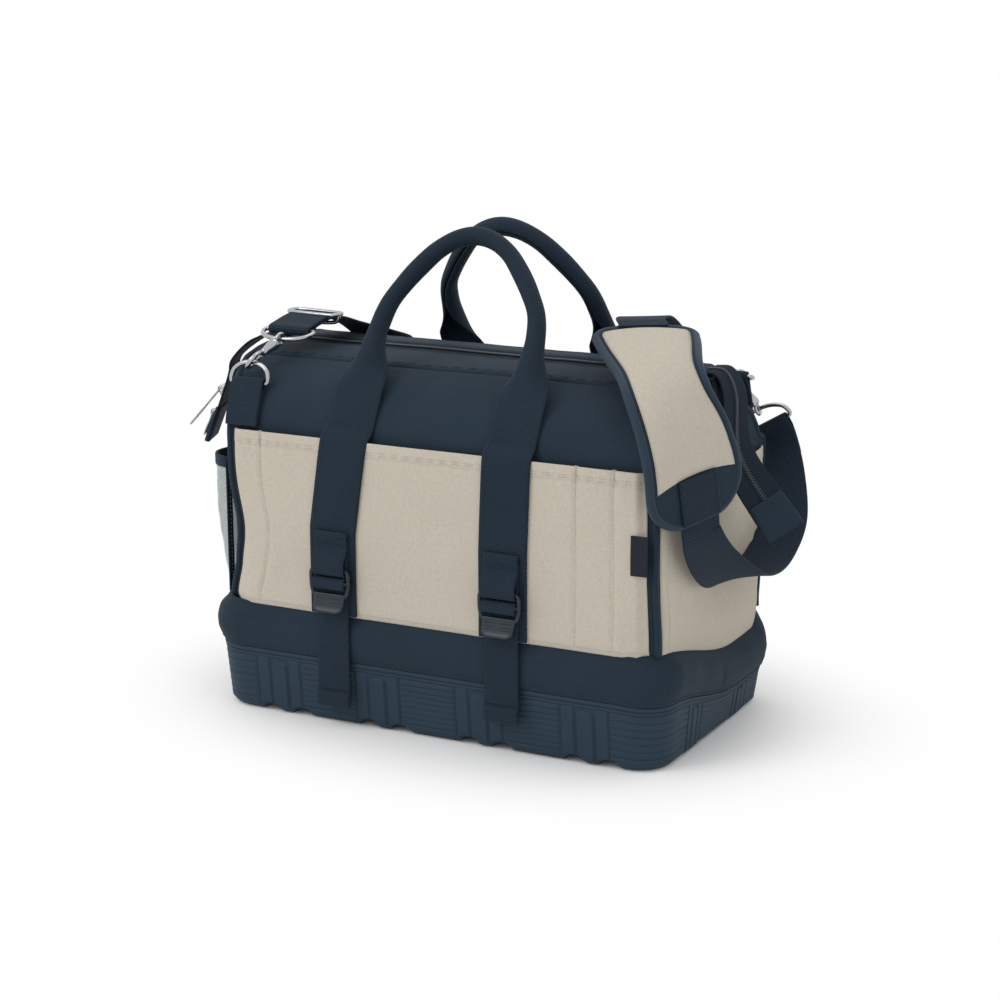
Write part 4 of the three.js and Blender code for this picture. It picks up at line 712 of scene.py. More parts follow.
def tub_relief(columns, share, step):
    """How far the wall stands out: two lips along the rim, cross ribs 1 - |2t - 1|^6 on the blocks,
    and two narrow ridges beside an arched one in each zone."""
    bx, by, dx, dy = (c[None] for c in columns.T)
    hx, hy = TUB_LENGTH / 2 - TUB_CORNER, TUB_DEPTH / 2 - TUB_CORNER
    long, end = np.abs(dy) > 0.999, np.abs(dx) > 0.999
    x, y = bx * hx, by * hy
    s = share[:, None]
    near = np.where(long, np.min([np.abs(x - c) for c in ZONES], 0), np.abs(np.abs(y) - 58) * 50 / 32)
    near = np.where(long | end, near, 99.0)
    zone = 1 - smooth(ZONE_WIDTH / 2 - 0.6, ZONE_WIDTH / 2 + 0.6, near)
    middle = long & (np.abs(x) < 1.5 * ZONE_PITCH)
    ribs = 0
    for pitch, where in ((MIDDLE_PITCH, middle), (CORNER_PITCH, ~middle)):
        count = int(RIB_TOP * TUB_HEIGHT / pitch)
        low = RIB_TOP + (RIB_FOOT - count * pitch) / TUB_HEIGHT
        t = (s - low) * TUB_HEIGHT / pitch
        on = (t > 0) & (t < count)
        ribs = ribs + where * on * (1 - np.abs(2 * (t % 1) - 1) ** 6)
    h = s * TUB_HEIGHT
    arch = RIB_TOP * TUB_HEIGHT - 3 + 3 * np.sqrt(np.clip(1 - (near / 9) ** 2, 0, 1))
    arched = (1 - smooth(7.6, 8.8, near)) * (1 - smooth(arch - 0.8, arch + 0.8, h))
    narrow = (1 - smooth(5.6, 6.8, np.abs(near - 17.5))) * (1 - smooth(56, 58, h))
    groove = bump(near, ZONE_WIDTH / 2 + 0.2, 0.9) * (1 - smooth(56, 58, h))
    relief = step * (ribs * (1 - zone) + 1.1 * zone * np.maximum(arched * 1.2, narrow) - 0.9 * groove)
    lips = np.maximum(smooth(0.928, 0.94, s), smooth(0.873, 0.883, s) * (1 - smooth(0.912, 0.922, s)) * 0.8)
    return np.maximum(relief, LIP_STEP * lips)


def foot_arch(columns):
    """Height of the two small arches at the foot of each zone of the long sides."""
    x = columns[:, 0] * (TUB_LENGTH / 2 - TUB_CORNER)
    near = np.min([np.abs(x - c - side) for c in ZONES for side in (-13, 22)], 0)
    return np.where(np.abs(columns[:, 3]) > 0.999,
                    np.clip(np.sqrt(np.clip(169 - near ** 2, 0, None)) - 7, 0, None), 0)


def tub_ring(columns, share, out):
    """Ring of the tub: the plan shrinks towards the foot by the drafts, and stands out by out."""
    low = (1 - share)[:, None]
    out = np.broadcast_to(out, (len(share), len(columns)))
    radius = TUB_CORNER - (TUB_CORNER - FOOT_CORNER) * low
    hx = TUB_LENGTH / 2 - END_DRAFT * low - radius
    hy = TUB_DEPTH / 2 - SIDE_DRAFT * low - radius
    bx, by, dx, dy = (c[None] for c in columns.T)
    x, y = bx * hx + dx * (radius + out), by * hy + dy * (radius + out)
    return np.stack([x, y, share[:, None] * rim_height(bx * (TUB_LENGTH / 2 - TUB_CORNER) + dx * TUB_CORNER,
                                                      by * (TUB_DEPTH / 2 - TUB_CORNER))], -1)


class TOOLBAG_OT_tub(bpy.types.Operator):
    """Moulded tub with its ribs, ridges, lips and foot arches, and the board on its floor"""
    bl_idname = "toolbag.tub"
    bl_label = "Tub"

    def execute(self, context):
        sizes = context.scene.toolbag_sizes
        columns = tub_columns()
        a = np.linspace(0.15, math.pi / 2, 5)
        foot = np.stack([FOOT_ROUND * (1 - np.cos(a)) / TUB_HEIGHT, FOOT_ROUND * (np.sin(a) - 1)], 1)
        under = np.array([[0, -24.0], [0, -15], [0, -FOOT_ROUND]])
        wall = np.linspace(FOOT_ROUND / TUB_HEIGHT, 0.988, 84)[1:]
        inside = np.array([[1, 0.8], [1, -TUB_WALL + 0.8], [0.985, -TUB_WALL], [0.5, -TUB_WALL], [0.1, -TUB_WALL],
                           [0.062, -TUB_WALL - 3], [0.06, -TUB_WALL - 12]])
        share = np.concatenate([under[:, 0], foot[:, 0], wall, inside[:, 0]])
        out = np.concatenate([under[:, 1], foot[:, 1], 0 * wall, inside[:, 1]])[:, None]
        relief = tub_relief(columns, share, sizes.rib_step)
        first, last = len(under), len(under) + len(foot) + len(wall)
        rows = np.arange(len(share))
        relief *= ((rows >= first) & (rows < last))[:, None]
        relief[first:first + len(foot)] *= smooth(0, FOOT_ROUND / TUB_HEIGHT, foot[:, :1])
        p = tub_ring(columns, share, out + relief)
        lift = foot_arch(columns)[None] * (1 - smooth(0, 14, share[:, None] * TUB_HEIGHT))
        lift[:2] *= np.array([[0.0], [0.6]])
        lift[last:] = 0
        p[..., 2] += lift
        skin = Skin()
        skin.grid(p)
        place("ribbed_tub", skin, look("Moulded rubber"), stands_for=("base_tub",))
        board = frame["nodes"]["floor_board"]
        board.data.materials.clear()
        board.data.materials.append(look("Board")[0])
        return {"FINISHED"}


# Canvas body

def band_wall(columns, share):
    """Outer face of the lower band: from the rim lip to the foot of the pockets, bulging between,
    and drawn in under the pockets of the ends at its top."""
    base = tub_ring(columns, np.ones(1), 0.0)[0]
    s = share[:, None]
    ends = np.abs(columns[:, 2])[None]
    out = 1.6 + (3.2 + 3.5 * ends) * np.sin(math.pi * np.clip(s, 0, 1) ** 0.8)
    out = out - (2.4 + 4.5 * ends) * smooth(0.7, 1, s)
    x, y = base[:, 0][None], base[:, 1][None]
    along = np.where(np.abs(columns[:, 3]) > 0.9, base[:, 0], base[:, 1] + 400)[None]
    z = (base[:, 2] + 0.4)[None] * (1 - s) + (BAND_TOP + 1.0 - 1.15 * end_dip(base[:, 0], base[:, 1]))[None] * s
    inside = np.sin(math.pi * np.clip(s, 0, 1))
    folds = 1.1 * ripples(along, z * 2.5, 2.0, 95) * inside
    folds = folds - 2.0 * bump(x, 206, 20) * bump(z, 101, 2.2) * (y < 0) - (
        1.4 * bump(x + 0.5 * z, 270, 9) * inside * (y < 0))
    folds = folds - 1.2 * bump(x, -190, 25) * bump(z, 96, 3) * (y < 0)
    dx, dy = columns[:, 2][None], columns[:, 3][None]
    return np.stack([x + dx * (out + folds), y + dy * (out + folds), z], -1)


def even_columns(count=420):
    """Evenly spaced columns of the tub's plan, as tub_columns gives them."""
    columns = tub_columns()
    base = tub_ring(columns, np.ones(1), 0.0)[0]
    closed = np.vstack([base, base[:1]])
    s = lengths(closed)
    at = np.linspace(0, s[-1], count, endpoint=False)
    wrap = np.vstack([columns, columns[:1]])
    even = np.stack([np.interp(at, s, wrap[:, k]) for k in range(4)], 1)
    even[:, 2:] = unit(even[:, 2:])
    return even


def seam(skin, x, s, out, finish=0, turn=False, **size):
    """Row of stitches on the body along places x and distances s of the profile."""
    p, n = on_body(x, s, out)
    if turn:
        p, n = turned(p), turned(n)
    skin.stitches(settle(p), n, finish=finish, **size)


class TOOLBAG_OT_body(bpy.types.Operator):
    """Navy band, panels, top flaps and end panels of the canvas body, with their folds and seams"""
    bl_idname = "toolbag.body"
    bl_label = "Canvas body"

    def execute(self, context):
        depth = context.scene.toolbag_sizes.fold_depth
        self.band()
        for face in ("front", "back"):
            self.side(face, depth)
        for end in ("left", "right"):
            self.end(end, depth)
        return {"FINISHED"}

    def band(self):
        columns = even_columns()
        share = np.linspace(0, 1, 30)
        p = band_wall(columns, share)
        inner = p.copy()
        inner[..., 0] -= columns[:, 2] * 2.5
        inner[..., 1] -= columns[:, 3] * 2.5
        top = (p[-1] + inner[-1]) / 2 + (0, 0, 0.25)
        skin = Skin()
        skin.grid(np.concatenate([p, top[None], inner[::-1]]), True, True)
        for s, out in ((0.075, 0.1), (0.955, 0.1)):
            path = band_wall(columns, np.array([s]))[0]
            n = np.concatenate([columns[:, 2:], np.zeros((len(columns), 1))], 1)
            skin.stitches(np.vstack([path + n * out, path[:1] + n[:1] * out]), np.vstack([n, n[:1]]), finish=1)
        place("band", skin, look("Navy canvas", "Navy thread"), stands_for=("lower_band",))

    def side(self, face, depth):
        """Panel up to the hem and flap up to the zip: the profile carried along X, pulled in by soft
        folds that spread from the handle seams."""
        turn = face == "back"
        seed = 3.0 if turn else 0.0
        half = BODY_LENGTH / 2 - 2 * PIPING - 0.3
        hem = along_body(y=HEM)
        x = np.linspace(-half, half, 200)[None]
        for name, low, high, rise in (("panel", along_body(z=BAND_TOP) + 0.3, hem + 4, 0.0),
                                      ("top_flap", hem - 1.5, along_body(y=ZIP_TAPE), 1.1)):
            s = np.linspace(low, high, 70 if rise == 0 else 34)[:, None]
            z = on_body(0 * s, s)[0][..., 2]
            free = smooth(POCKET_TOP + 2, POCKET_TOP + 22, z)
            folds = ripples(x, s * 1.3, seed, 130) - 1
            folds = folds - 1.3 * bump(x - 0.25 * (s - 200), -30, 16) - 1.0 * bump(x + 0.35 * (s - 200), 40, 14)
            if not turn:
                folds = folds - 0.9 * bump(x + 0.4 * (s - 230), -150, 18)
            edge = smooth(-half, -half + 14, x) * (1 - smooth(half - 14, half, x))
            out = depth * 0.75 * folds * free * edge * (1 - smooth(hem - 22, hem - 2, s))
            out = out + rise * smooth(low, low + 1.5, s) if rise else out - 1.2 * smooth(hem - 5, hem - 2, s)
            if rise:
                out = out + 0.35 * np.sin(x / 2.6) * bump(s, hem + 3, 3) - 1.0 * smooth(high - 2.5, high, s)
            p, n = on_body(x, s, out)
            p, n = (turned(p), turned(n)) if turn else (p, n)
            skin = Skin()
            skin.slab(settle(p), n, 2.2)
            row = np.linspace(-half + 4, half - 4, 300)
            for at in ((hem + 2.4, hem + 5.4, high - 4.5) if rise else (along_body(z=BAND_TOP) + 4,)):
                seam(skin, row, at, rise + 0.1, 1, turn)
            place(f"{face}_{name}_cloth", skin, look("Navy canvas", "Navy thread"),
                  stands_for=(f"{face}_{name}",))

    def end(self, end, depth):
        """End panel: rows across the body at each height, pushed in and out by upright folds."""
        sign = 1 if end == "right" else -1
        z = np.concatenate([np.linspace(BAND_TOP + 0.5, 250, 36, endpoint=False),
                            np.linspace(250, 347.5, 60)])[:, None]
        side = np.linspace(-1, 1, 110)[None]
        y = side * (body_half(z + 1.5) - 4.2)
        high = smooth(232, 300, z)
        folds = 0
        for centre, lean, width, size in ((38, -0.16, 9, -1.6), (62, -0.3, 8, 1.5), (84, -0.42, 8, -2.2),
                                          (108, -0.5, 8, 1.2), (-30, 0.2, 10, -0.8), (-62, 0.3, 9, 0.5),
                                          (-88, 0.35, 9, -0.9)):
            folds = folds + size * bump(y - lean * (z - 262), centre, width)
        x = sign * (BODY_LENGTH / 2 - 1.2) + sign * depth * (
            2.4 * high * folds * (1 - smooth(0.9, 1, np.abs(side))) + 0.6 * ripples(y, z, 5.0 + sign, 80) - 0.6)
        x = x - sign * 4 * high * (1 - np.abs(side) ** 2)
        if sign < 0:
            x = x - 24 * bump(z, 318, 38) * (1 - np.abs(side) ** 3)
        p = settle(np.stack(np.broadcast_arrays(x, y, z), -1))
        skin = Skin()
        skin.slab(p[:, ::-1] if sign < 0 else p, np.array([sign, 0.0, 0.0]), 2.2)
        place(f"{end}_end_cloth", skin, look("Navy canvas"), stands_for=(f"{end}_end_panel",))


class TOOLBAG_OT_piping(bpy.types.Operator):
    """Piping over both ends of the body, with the seam tape beside it"""
    bl_idname = "toolbag.piping"
    bl_label = "Piping"

    def execute(self, context):
        radius = context.scene.toolbag_sizes.piping
        s = np.linspace(0.5, 2 * PROFILE_S[-1] - 0.5, 420)
        for end, x in (("right", BODY_LENGTH / 2 - PIPING), ("left", PIPING - BODY_LENGTH / 2)):
            p, n = on_body(x, s, -1.25)
            p = settle(p)
            r = radius * (1 + 0.05 * np.sin(s / 9.0) + 0.03 * np.sin(s / 3.7))
            skin = Skin()
            skin.wire(p, r, ALONG, sides=16)
            inward = -np.sign(x)
            tape = np.stack([p + n * 0.9 + np.array([inward * (radius - 0.6 + w), 0, 0])
                             for w in np.linspace(0, 5.5, 4)], 1)
            skin.slab(tape if inward > 0 else tape[:, ::-1], np.repeat(n[:, None], 4, 1), 1.2)
            skin.stitches(p + n * 1.0 + np.array([inward * (radius + 2.6), 0, 0]), n, finish=1)
            place(f"{end}_piping_cloth", skin, look("Navy canvas", "Navy thread"),
                  stands_for=(f"{end}_piping",))
        return {"FINISHED"}


# Pockets

def pocket_out(x, z, slack):
    """How far a side pocket stands off the body: full between its seams, drawn in along each seam
    and towards its side edges, and a little open at the top."""
    out = POCKET_OUT + 0 * x * z
    for seam_x in (PEN_SEAM, TOOL_SEAM, EDGE_SEAM):
        out = out - 1.5 * bump(x, seam_x, 2.6) * smooth(BAND_TOP + 2, BAND_TOP + 20, z)
    half = POCKET_LENGTH / 2
    out = out - 5.5 * (smooth(half - 9, half, np.abs(x)))
    out = out - 1.6 * (1 - smooth(BAND_TOP, BAND_TOP + 7, z))
    gape = np.sin(math.pi * np.clip((x + 73) / 133, 0, 1)) + 0.7 * np.sin(math.pi * np.clip((x - 158) / 38, 0, 1))
    out = out + 1.0 * gape * smooth(235, POCKET_TOP, z)
    soft = ripples(x, z, 7.0, 120) * smooth(BAND_TOP, 150, z)
    web = np.minimum(np.abs(x + 98), np.abs(x - 85))
    return out + slack * np.minimum(soft - 0.35, 0) * smooth(26, 48, web)


class TOOLBAG_OT_pockets(bpy.types.Operator):
    """Beige patch pockets on both sides and the right end, the net pocket and the blank tag"""
    bl_idname = "toolbag.pockets"
    bl_label = "Pockets"

    def execute(self, context):
        slack = context.scene.toolbag_sizes.fold_depth
        for face in ("front", "back"):
            self.side(face, slack)
        self.beige_end(slack)
        self.net()
        self.tag()
        return {"FINISHED"}

    def side(self, face, slack):
        turn = face == "back"
        half = POCKET_LENGTH / 2
        x = np.linspace(-half, half, 320)[None]
        z = np.concatenate([np.linspace(BAND_TOP + 0.3, 268, 60, endpoint=False),
                            np.linspace(268, POCKET_TOP, 22)])
        hem = smooth(272.2, 273.2, z[:, None]) * 0.55 - 0.5 * bump(z[:, None], 272.3, 1.0)
        pucker = 0.28 * np.sin(x / 2.3 + 2 * np.sin(x / 31)) * bump(z[:, None], 274.5, 5)
        s = np.array([along_body(z=h) for h in z])[:, None]
        p, n = on_body(x, s, pocket_out(x, z[:, None], slack) + hem + pucker)
        skin = Skin()
        p, n = (turned(p), turned(n)) if turn else (p, n)
        skin.slab(settle(p), n, 2.3)
        row = np.linspace(-half + 3, half - 3, 400)
        for level in (275.2, 277.6):
            out = pocket_out(row, np.full(400, level), slack) + 0.65
            seam(skin, row, along_body(z=level), out, 1, turn, radius=0.3)
        low = BAND_TOP + 4.5
        seam(skin, row, along_body(z=low), pocket_out(row, np.full(400, low), slack) + 0.1, 1, turn, radius=0.3)
        height = np.linspace(BAND_TOP + 5, POCKET_TOP - 3, 200)
        s = np.array([along_body(z=h) for h in height])
        for x0 in (PEN_SEAM, TOOL_SEAM, EDGE_SEAM):
            line = x0 + 0.7 * np.sin(height / 23)
            seam(skin, line, s, pocket_out(line, height, slack) + 0.1 + 0.5 * smooth(272, 274, height), 1, turn,
                 radius=0.3)
            for level in np.linspace(POCKET_TOP - 8, POCKET_TOP + 1, 6):
                across = np.linspace(x0 - 1.9, x0 + 1.9, 3)
                out = pocket_out(across, np.full(3, level), slack) + 0.75
                seam(skin, across, along_body(z=level), out, 1, turn, pitch=3.6, length=4.2, radius=0.5)
        place(f"{face}_patch_pockets", skin, look("Beige canvas", "Beige thread"),
              stands_for=(f"{face}_pockets",))

    def end_sheet(self, half, low, high, bulge, rows, cols, lift):
        """Sheet on an end: bulge (1 - |2a - 1|^6)^0.7 (0.35 + 0.65 f) off the end panel, where a and b
        run across and up and f rises from 0 at the foot to 1."""
        a = np.linspace(0, 1, cols)[None]
        b = np.linspace(0, 1, rows)[:, None]
        y = (2 * a - 1) * half
        z = low + b * (high - low) + lift(y) * smooth(0.3, 1, b)
        foot = smooth(0, 0.22, b) ** 0.6
        out = bulge * np.clip(1 - np.abs(2 * a - 1) ** 6, 0, 1) ** 0.7 * (0.35 + 0.65 * foot)
        return y + 0 * z, z, out

    def beige_end(self, slack):
        half = 125.0
        y, z, out = self.end_sheet(half, BAND_TOP + 0.5, END_POCKET_TOP, 7.5, 70, 130, lambda y: 0 * y)
        rising, falling, high = y + 0.45 * (z - 190), y - 0.7 * (z - 240), smooth(200, 250, z)
        folds = 1.2 * ripples(y, z, 9.0, 110) - 1.8 * bump(rising, 96, 7) + 1.2 * bump(rising, 84, 6)
        folds = folds - 1.6 * bump(falling, 60, 5) * high + 1.3 * bump(falling, 71, 5) * high
        folds = folds - 1.1 * bump(y + 0.2 * z, -60, 9)
        hem = 0.55 * smooth(249.5, 250.5, z)
        inside = smooth(0, 10, half - np.abs(y)) * smooth(BAND_TOP, BAND_TOP + 14, z)
        x = BODY_LENGTH / 2 - 0.6 + out + slack * 0.8 * folds * inside + hem
        p = settle(np.stack([x, y, z], -1))
        skin = Skin()
        skin.slab(p, ALONG, 2.2)
        at = np.argmin(np.abs(z[:, 0] - 252.5))
        skin.stitches(p[at, 4:-4] + (0.1, 0, 0), ALONG, finish=1, radius=0.3)
        for col in (4, -5):
            skin.stitches(p[3:, col] + (0.1, 0, 0), ALONG, finish=1, radius=0.3)
        place("right_patch_pocket", skin, look("Beige canvas", "Beige thread"),
              stands_for=("right_end_pocket",))

    def net(self):
        """Net pocket with a bound top edge, bulging from the left end."""
        half = 112.0
        y, z, out = self.end_sheet(half, BAND_TOP + 0.5, MESH_TOP, MESH_BULGE, 60, 110,
                                   lambda y: -6 * np.cos(y / half * math.pi / 2))
        full = 0.62 + 0.38 * smooth(BAND_TOP, 205, z)
        x = -(BODY_LENGTH / 2 - 0.8 + out * full + 1.6 * ripples(y, z, 4.0, 70) * smooth(0, 20, half - np.abs(y)))
        p = np.stack([x, y, z], -1)[:, ::-1]
        skin = Skin()
        skin.slab(p, np.array([-1.0, 0, 0]), 0.9)
        top = p[-1] + (0, 0, -2.0)
        skin.sweep(top, UPWARD, flat_section(6.0, 1.5), finish=1)
        for col in (0, -1):
            edge = p[:, col] + (-0.4, 0, 0)
            skin.sweep(edge, np.array([0.0, 1, 0]), flat_section(4.5, 1.0), finish=1)
        place("net_pocket", skin, look("Pocket net", "Navy canvas"), stands_for=("left_mesh_pocket",))

    def tag(self):
        """Folded woven tag sewn in beside the piping, bare on both faces, curling a little."""
        low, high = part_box("blank_tag")
        (x0, y0, z0), (x1, _, z1) = (np.array(c) / MM for c in (low, high))
        x = np.linspace(x0, x1, 16)[None] + 6.5
        z = np.linspace(z0, z1, 26)[:, None]
        y = y0 + 0.3 - 1.0 * ((x - x1 - 6.5) / (x1 - x0)) ** 2 - 0.3 * np.sin((z - z0) / 9)
        p = np.stack(np.broadcast_arrays(x, y, z), -1)
        skin = Skin()
        skin.slab(p, FORWARD, 0.9)
        skin.stitches(p[2:-2, -2] + (0, -0.1, 0), FORWARD, finish=1, radius=0.25, pitch=2.4,
                      length=1.7)
        place("bare_tag", skin, look("Blank woven tag", "Navy thread"), stands_for=("blank_tag",))


# Webbing and buckles

def body_face(z, out):
    """(y, z) of the front face at a height, moved off it by a distance."""
    slope = body_half(z + 0.5) - body_half(z - 0.5)
    reach = np.hypot(1, slope)
    return -body_half(z) - out / reach, z - out * slope / reach


def strip_y(z):
    """Middle of the handle webbing: over the pockets, then stepping in to the panel."""
    step = smooth(POCKET_TOP + 2, POCKET_TOP + 16, z)
    return -body_half(z) - 8.5 * (1 - step) - 0.6 - WEB_THICK / 2


def strip_x(side, z):
    share = np.clip((np.asarray(z, float) - SEWN_TOP) / (PIVOT_HEIGHT - SEWN_TOP), 0, None)
    return STRIP_FOOT[side] + (STRIP_TOP[side] - STRIP_FOOT[side]) * share


def handle_path():
    """Webbing of one side in a single run: up the left strip, over the grip and down the right one."""
    middle, reach = 5.0, 85.0
    pivot_y = float(strip_y(PIVOT_HEIGHT)) - WEB_THICK * 1.3 - GAP
    leg_top = -GRIP_LEAN - (GRIP_HEIGHT - LEG_BEND) * 0.5
    z = np.linspace(BAND_TOP + 2, 304, 30)
    up = {side: np.stack([strip_x(side, z), strip_y(z), z], 1) for side in ("left", "right")}
    half = np.array([[-1.006, 333], [-1.0, 360], [-0.98, 388], [-0.92, 409], [-0.79, 427], [-0.63, 444],
                     [-0.44, 460], [-0.22, 470.5], [0, GRIP_HEIGHT]])
    y = np.interp(half[:, 1], [PIVOT_HEIGHT, LEG_BEND, GRIP_HEIGHT], [pivot_y, leg_top, -GRIP_LEAN])
    left = np.stack([middle + half[:, 0] * reach, y, half[:, 1]], 1)
    right = (left * (-1, 1, 1) + (2 * middle, 0, 0))[::-1][1:]
    return spaced(np.concatenate([up["left"], left, right, up["right"][::-1]]), 620)


def rolled(fold, half=25.0, thick=1.3, count=30):
    """Outline of webbing rolled into a tube by a share: its middle line is an arc of radius
    half / (pi share), so that at 1 its edges meet; then it is flattened a little."""
    f = np.clip(np.asarray(fold, float), 1e-3, 1)[:, None] * 0.97
    radius = half / (math.pi * f)
    u = np.concatenate([np.linspace(-half, half, count), np.linspace(half, -half, count)])[None]
    side = np.concatenate([-np.ones(count), np.ones(count)])[None]
    edge = np.sqrt(np.clip(1 - (np.abs(u) / half) ** 40, 0, 1))
    r = radius - side * thick * (0.55 + 0.45 * edge)
    x, y = r * np.sin(u / radius), radius - r * np.cos(u / radius)
    y = y - (radius * (1 - np.cos(half / radius))) * 0.5
    return np.stack([x * (1 - 0.1 * f), -y * (1 + 0.04 * f)], -1)


class TOOLBAG_OT_webbing(bpy.types.Operator):
    """Handle webbing of both sides, with the strips that carry it down to the band"""
    bl_idname = "toolbag.webbing"
    bl_label = "Handle webbing"

    def execute(self, context):
        for face in ("front", "back"):
            self.run(face)
        return {"FINISHED"}

    def run(self, face):
        turn = face == "back"
        centre = handle_path()
        along = directions(centre)
        z = centre[:, 2]
        lean = smooth(304, 345, z)
        out = unit(np.stack([0 * z, -np.ones(len(z)), 0.62 * lean], 1))
        lift = unit(out - along * np.sum(out * along, 1, keepdims=True))
        across = np.cross(lift, along)
        fold = smooth(LEG_BEND - 66, LEG_BEND - 6, z)
        twist = np.radians(9) * bump(z, LEG_BEND - 4, 22) * np.sign(centre[:, 0] - 5)
        wide = across * np.cos(twist)[:, None] + lift * np.sin(twist)[:, None]
        high = np.cross(along, wide)
        section = rolled(fold)
        section = section * (1 + 0.03 * np.sin(lengths(centre) / 11.0) * fold)[:, None, None]
        p = centre[:, None] + wide[:, None] * section[..., :1] + high[:, None] * section[..., 1:]
        skin = Skin()
        skin.grid(turned(p) if turn else p)
        rows = np.arange(len(z))
        for half in (rows < len(rows) / 2, rows >= len(rows) / 2):
            sewn = half & (z < 302) & (z > SEWN_TOP + 1)
            for edge in (-21.5, 21.5):
                path = centre[sewn] + across[sewn] * edge + lift[sewn] * 1.4
                n = lift[sewn]
                skin.stitches(turned(path) if turn else path, turned(n) if turn else n, finish=1, radius=0.36)
            bar = half & (z > 297) & (z < 301)
            for k in (0, 5):
                spot = centre[bar][:1] - along[bar][:1] * k
                path = spot + across[bar][:1] * np.linspace(-21, 21, 24)[:, None] + lift[bar][:1] * 1.4
                n = np.repeat(lift[bar][:1], 24, 0)
                skin.stitches(turned(path) if turn else path, turned(n) if turn else n, finish=1, radius=0.4)
        piece = place(f"{face}_handle_webbing", skin, look("Navy webbing", "Navy thread"),
                      stands_for=(f"{face}_handle", f"{face}_left_webbing", f"{face}_right_webbing"))
        piece.parent = None
        del piece["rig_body"]
        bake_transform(piece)


def along_x(path, half, thick, finish=0, skin=None, x=0.0):
    """Webbing that runs in the (y, z) plane: its width is along X."""
    p = np.stack([np.full(len(path), x), path[:, 0], path[:, 1]], 1)
    skin.sweep(p, ALONG, flat_section(half, thick), finish=finish)


def arc(centre, radius, start, stop, count=14):
    a = np.radians(np.linspace(start, stop, count))
    return np.stack([centre[0] + radius * np.cos(a), centre[1] + radius * np.sin(a)], 1)


